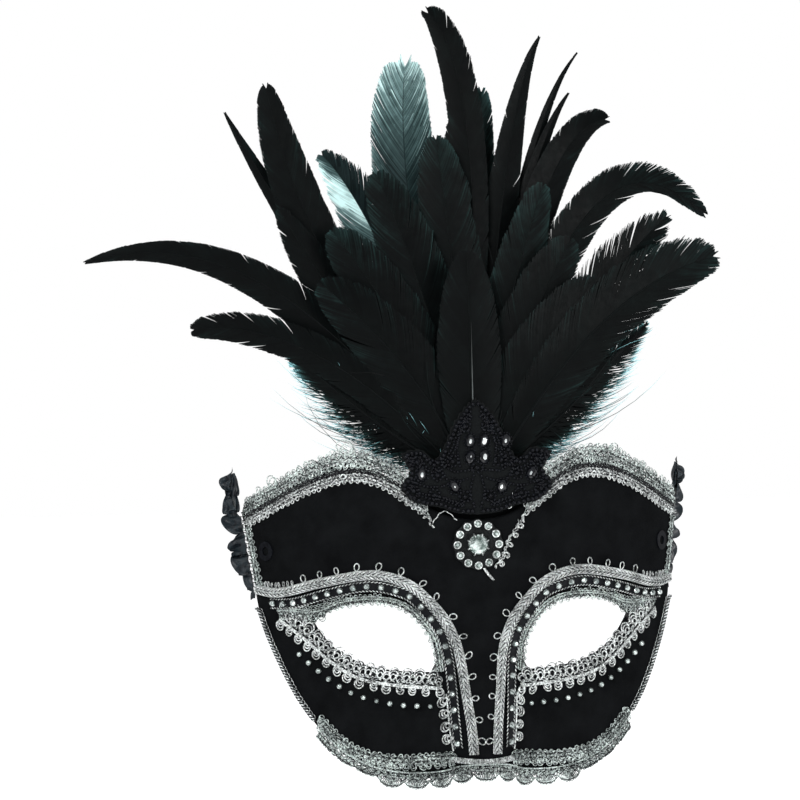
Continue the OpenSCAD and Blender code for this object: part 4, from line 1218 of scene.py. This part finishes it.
def feather(name, nodes, layer_no, x, bend, tip, w, a, b, teal_sheen=0.0, loose=0.1, fluff=0.08,
            material=BLACK_FEATHER, slot="feather_black", streak=0.07, sheen_side=0, fringe=0.0, glow=None):
    """A quill with barbs on both sides: closed and smooth where loose is 0, downy where it nears 1."""
    rng = np.random.default_rng(700 + int(layer_no * 10) + len(name))
    root, bend, tip = np.array([x, ROOT_Z]), np.array(bend, float), np.array(tip, float)
    fine = np.linspace(0, 1, 400)[:, None]
    spine = root * (1 - fine) ** 2 + bend * (2 * fine * (1 - fine)) + tip * fine**2
    s = run(spine)
    length = s[-1]
    way = unit(np.gradient(spine, axis=0))
    side = np.stack([way[:, 1], -way[:, 0]], -1)

    def at(table, share):
        return sample(share, s / length, table)

    body = Batch()
    share = np.linspace(0, 0.97, 60)
    p = at(spine, share)
    line = front(p[:, 0], spray_y(layer_no, p[:, 0], p[:, 1]) - 0.25, p[:, 1])
    # The quill takes painted sheen along with the vanes.
    body.tube(line, 0.45 * (1 - share) ** 0.7 + 0.05, 6, shade=0.1 + 0.3 * teal_sheen)

    m = BARB_POINTS
    u = np.linspace(0, 1, m)
    count = int(length / BARB_PITCH)
    for sign in (-1, 1):
        # How much painted sheen and glow each vane takes; one vane only where a side is given.
        bright = teal_sheen if sheen_side in (0, sign) else 0.1 * teal_sheen
        k = 0
        while k < count:
            clump = int(rng.integers(10, 60) * (1 - 0.6 * loose))
            members = np.arange(k, min(k + clump, count))
            n = len(members)
            middle = members.mean() / count
            split = rng.normal(0, 3.5) if rng.random() < 0.03 + 0.5 * loose**2 else 0.0
            tilt = rng.normal(0, 0.25 + 3 * loose) + split
            grow = rng.normal(1.0, 0.004 + 0.06 * loose)
            raise_y = rng.normal(0, 0.04 + 0.3 * loose)
            tone = rng.normal(0, 0.04)
            k += clump
            t0 = np.clip((members + rng.uniform(-0.3, 0.3, n)) / count, 0.015, 0.985)
            down = np.clip(1 - t0 / fluff, 0, 1) if fluff > 0 else 0 * t0
            angle = np.radians(np.clip(50 - 22 * t0 + tilt + rng.normal(0, 0.3 + 2 * loose, n)
                                       + down * rng.normal(8, 16, n), 12, 95))
            bendy = np.radians(rng.normal(14, 0.5 + 5 * loose, n) + down * rng.normal(0, 30, n))
            chord = np.clip(angle - bendy / 2, 0.15, 1.6)
            near, far = np.zeros(n), np.full(n, w * 1.05)
            for _ in range(14):
                reach = (near + far) / 2
                inside = vane(t0 + reach / np.tan(chord) / length, w, a, b) > reach
                near, far = np.where(inside, reach, near), np.where(inside, far, reach)
            size = (near / np.sin(chord) + 0.25) * grow * (1 + down * rng.uniform(0.05, 0.6, n))
            size = size * (1 + loose * rng.normal(0, 0.12, n))
            turn = angle[:, None] - bendy[:, None] * u[None]
            step = size[:, None] / (m - 1)
            zero = np.zeros((n, 1))
            ahead = np.concatenate([zero, np.cumsum(np.cos(turn[:, :-1]) * step, 1)], 1)
            out = np.concatenate([zero, np.cumsum(np.sin(turn[:, :-1]) * step, 1)], 1)
            ahead = ahead + (middle - t0)[:, None] * length * (0.04 + 0.5 * loose) * u[None] ** 2
            q = (at(spine, t0)[:, None] + at(way, t0)[:, None] * ahead[..., None]
                 + (at(side, t0) * sign)[:, None] * out[..., None])
            wave = (down + 0.5 * loose)[:, None] * rng.normal(0, 0.8, (n, 1)) * u[None] ** 1.5
            y = (spray_y(layer_no, q[..., 0], q[..., 1]) - 0.15 + 0.004 * out**2 + raise_y * u[None] ** 1.5
                 + wave + rng.normal(0, 0.02, (n, 1)))
            centre = np.stack([q[..., 0], y, q[..., 1]], -1)
            t3 = unit(np.gradient(centre, axis=1))
            flat = unit(np.cross(t3, np.array([0, -1.0, 0])) + np.array([0, 0.3 * sign, 0]))
            taper = 1 - (0.1 + 0.6 * loose) * u[None] - 0.35 * u[None] ** 8
            wide = BARB_HALF_W * taper * (1 - 0.3 * down[:, None]) * (1 - 0.15 * loose) + 0 * t0[:, None]
            verts = np.stack([centre - flat * wide[..., None], centre + flat * wide[..., None]], 2)
            quads = (grid_quads(m, 2)[None] + (np.arange(n) * 2 * m)[:, None, None]).reshape(-1, 4)
            # Painted light in the barbs' shade: rim and fringe brighten the barb tips as painted backlit
            # glow, crest brightens the feather's tip as painted sheen and glow, glow lays a band of painted
            # sheen with darker tips across it, and bright lifts the vane towards the tip as painted sheen;
            # tone and strand vary at random.
            rim = u[None] ** 3 * (0.1 + 0.35 * bright) + fringe * u[None] ** 2.2
            crest = np.clip((t0[:, None] - 0.6) / 0.4, 0, 1) * bright * 0.75
            if glow:
                crest = (np.exp(-(((t0[:, None] - glow[0]) / glow[1]) ** 2)) * bright * 1.2
                         - 0.35 * bright * u[None] ** 3)
            strand = rng.normal(0, streak, (n, 1)) * (0.4 + 0.6 * u[None])
            shade = np.clip(0.06 + rim + crest + bright * (0.12 + 0.3 * t0[:, None]) + tone + strand, 0, 1)
            body.add(verts, quads, shade=np.repeat(shade[..., None], 2, -1))
    body.piece(name, material, slot, *nodes, body=SPRAY)


# The entries for sheen, its side, glow and fringe set painted sheen and painted backlit glow on the barbs.
FEATHERS = {
    "front_centre": (0, 0, [-1.5, 100], [-1.5, 152], 12, 0.5, 0.5, dict()),
    "right_broad": (1, 8, [52.5, 137], [102.5, 148.5], 12, 0.55, 0.3, dict(teal_sheen=0.15, loose=0.2)),
    "left_lobe": (2, -8, [-60, 129], [-109, 123], 7, 0.45, 0.35, dict(loose=0.15)),
    "left_fluff": (3, -10, [-40.5, 84.5], [-72, 116.5], 9.5, 0.7, 0.7,
                   dict(loose=0.8, fluff=0.9, fringe=1.1)),
    "right_wisp": (4, 10, [41, 87.5], [74.5, 122.5], 8.5, 0.7, 0.7, dict(loose=0.8, fluff=0.9, fringe=1.1)),
    "far_left_sickle": (5, -10, [-79, 173], [-151.5, 150], 8.5, 0.35, 0.8, dict(loose=0.06)),
    "right_fringe": (6, 6, [50.5, 137], [85, 165.5], 12, 0.45, 0.5, dict(loose=0.4, teal_sheen=0.1)),
    "left_margin": (7, -6, [-53.5, 134], [-72.5, 171], 9, 0.4, 0.5, dict(loose=0.15)),
    "left_quilled": (8, -7, [-65, 151], [-76, 221], 9.5, 0.5, 0.45, dict(loose=0.08)),
    "right_arch": (9, 5, [51, 218], [102, 164.5], 8.5, 0.5, 0.55, dict(loose=0.15, teal_sheen=0.1)),
    "left_spike": (10, -8, [-82.5, 188.5], [-93, 211.5], 5.5, 0.45, 0.9, dict(loose=0.03)),
    "left_teal": (11, -5, [-30.5, 167], [-55, 193], 12, 0.5, 0.5,
                  dict(teal_sheen=0.6, loose=0.25, sheen_side=-1, streak=0.14, glow=(0.8, 0.13))),
    "tallest": (12, -2, [14, 228], [-12, 249.5], 6.7, 1, 0.35, dict(loose=0.12)),
    "right_round": (13, 4, [32, 205.5], [64.5, 205], 7.5, 0.5, 0.35, dict(loose=0.08)),
    "right_spear": (14, 3, [18, 213], [37.5, 240.5], 8, 0.45, 0.9, dict(loose=0.05)),
    "right_blade": (15, 2, [23.5, 186.5], [49.5, 217.5], 5, 0.45, 0.9, dict(loose=0.03)),
    "right_needle": (16, 4, [25, 204], [55, 234.5], 4, 0.45, 1, dict(loose=0.05)),
    "tall_teal": (17, -3, [-27, 173.5], [-18.5, 229.5], 12, 0.5, 0.25,
                  dict(teal_sheen=0.6, loose=0.1, streak=0.16)),
    "rear_centre": (18, 0, [7.5, 160.5], [12, 218.5], 6, 0.5, 0.3, dict(teal_sheen=0.3, loose=0.15, streak=0.1)),
}
# Shorter feathers that close the middle of the spray: layer, root, lean, length, half width
FILLERS = [
    (1.5, -4, -36, 92, 12), (2.5, 4, 34, 88, 12), (4.5, -6, -26, 106, 12), (5.5, 5, 23, 98, 12),
    (6.5, -3, -15, 122, 12), (8.5, 3, 15, 116, 10), (9.5, -1, -4, 132, 12), (11.5, -7, -44, 84, 12),
    (12.5, 7, 44, 78, 12), (13.5, -1, 0.5, 141, 9), (15.5, 3, 8, 118, 8), (3.5, 7, 50, 66, 9),
    (7.5, -8, -54, 76, 10),
]
# Downy feathers under the spray, with painted backlit glow at their edges: layer, root, bend, tip, half
# width
DOWN = [
    (9.2, -9, [-30, 76], [-57, 98], 8), (9.8, -8, [-22, 72], [-42, 82], 7),
    (10.2, 10, [32, 78], [58, 102], 8), (10.8, 9, [24, 72], [42, 84], 7),
]


def build_feathers():
    for name, (layer_no, x, bend, tip, w, a, b, more) in FEATHERS.items():
        if name in ("left_teal", "tall_teal"):
            more = dict(more, material=TEAL_FEATHER, slot="feather_teal")
        feather(name, ["feather_" + name], layer_no, x, bend, tip, w, a, b, **more)
    for k, (layer_no, x, lean, length, w) in enumerate(FILLERS):
        turn = math.radians(lean)
        tip = [x + length * math.sin(turn), ROOT_Z + length * math.cos(turn)]
        bend = [x + 0.42 * length * math.sin(turn * 0.7), ROOT_Z + 0.5 * length * math.cos(turn * 0.7)]
        # Five of the fillers carry more painted sheen than the rest.
        feather(f"inner_{k + 1}", [], layer_no, x, bend, tip, w, 0.4, 0.4, loose=0.15,
                teal_sheen=0.18 if k in (2, 4, 5, 6, 10) else 0.05, streak=0.09)
    for k, (layer_no, x, bend, tip, w) in enumerate(DOWN):
        feather(f"down_{k + 1}", [], layer_no, x, bend, tip, w, 0.5, 0.6, loose=0.85, fluff=0.9, fringe=1.2)
    quill = Batch()
    z = np.linspace(93, 124, 40)
    quill.tube(front(-0.6 + 0 * z, spray_y(0, 0 * z, z) - 0.75, z), np.linspace(0.26, 0.1, 40), 6,
               shade=np.linspace(1, 0, 40))
    quill.piece("front_quill", QUILL, "feather_black", body=SPRAY)


def build_binding():
    """Thread wound over the quills' ends."""
    wound = Batch()

    def coil(t, turns, phase, r, half, thick):
        angle = TAU * (turns * t + phase)
        path = front(-half + 2 * half * t, ROLL_Y + r * np.cos(angle), ROLL_Z + r * np.sin(angle))
        wound.tube(path, thick, 6, up=FRONT_U)

    t = np.linspace(0, 1, ROLL_TURNS * 20)
    coil(t, ROLL_TURNS, 0, ROLL_R - 0.32 + 0.1 * np.sin(t * 40), 14.7, 0.36)
    for k in range(3):
        coil(np.linspace(0, 1, 160), 3.2, k / 3, ROLL_R + 0.05, 14, 0.3)
    turn = np.linspace(0, TAU, 40, endpoint=False)
    core = []
    for x, radius in ((-15, 0.0), (-15, 3.6), (-14.4, 4.1), (14.4, 4.1), (15, 3.6), (15, 0.0)):
        core.append(front(x, ROLL_Y + radius * np.cos(turn), ROLL_Z + radius * np.sin(turn)))
    wound.add(core, grid_quads(6, 40, wrap=True)[:, ::-1])
    wound.piece("binding", BLACK_THREAD, "binding_thread", "feather_binding", body=SPRAY)


def dress_cad():
    """Gives the CAD nodes that stay in sight their finish."""
    for node, material in (("mask_shell", PLASTIC), ("feather_card", FELT), ("left_tie_eyelet", ENAMEL),
                           ("right_tie_eyelet", ENAMEL)):
        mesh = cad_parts[node].data
        mesh.materials.clear()
        mesh.materials.append(material)


build_camera()
build_floor()
build_lights()
dress_cad()
build_cover()
sides_of(build_brow)
sides_of(build_eye_trim)
sides_of(build_edges)
sides_of(build_ruffle)
build_chin()
build_applique()
build_brooch()
build_stray_wires()
build_binding()
build_feathers()
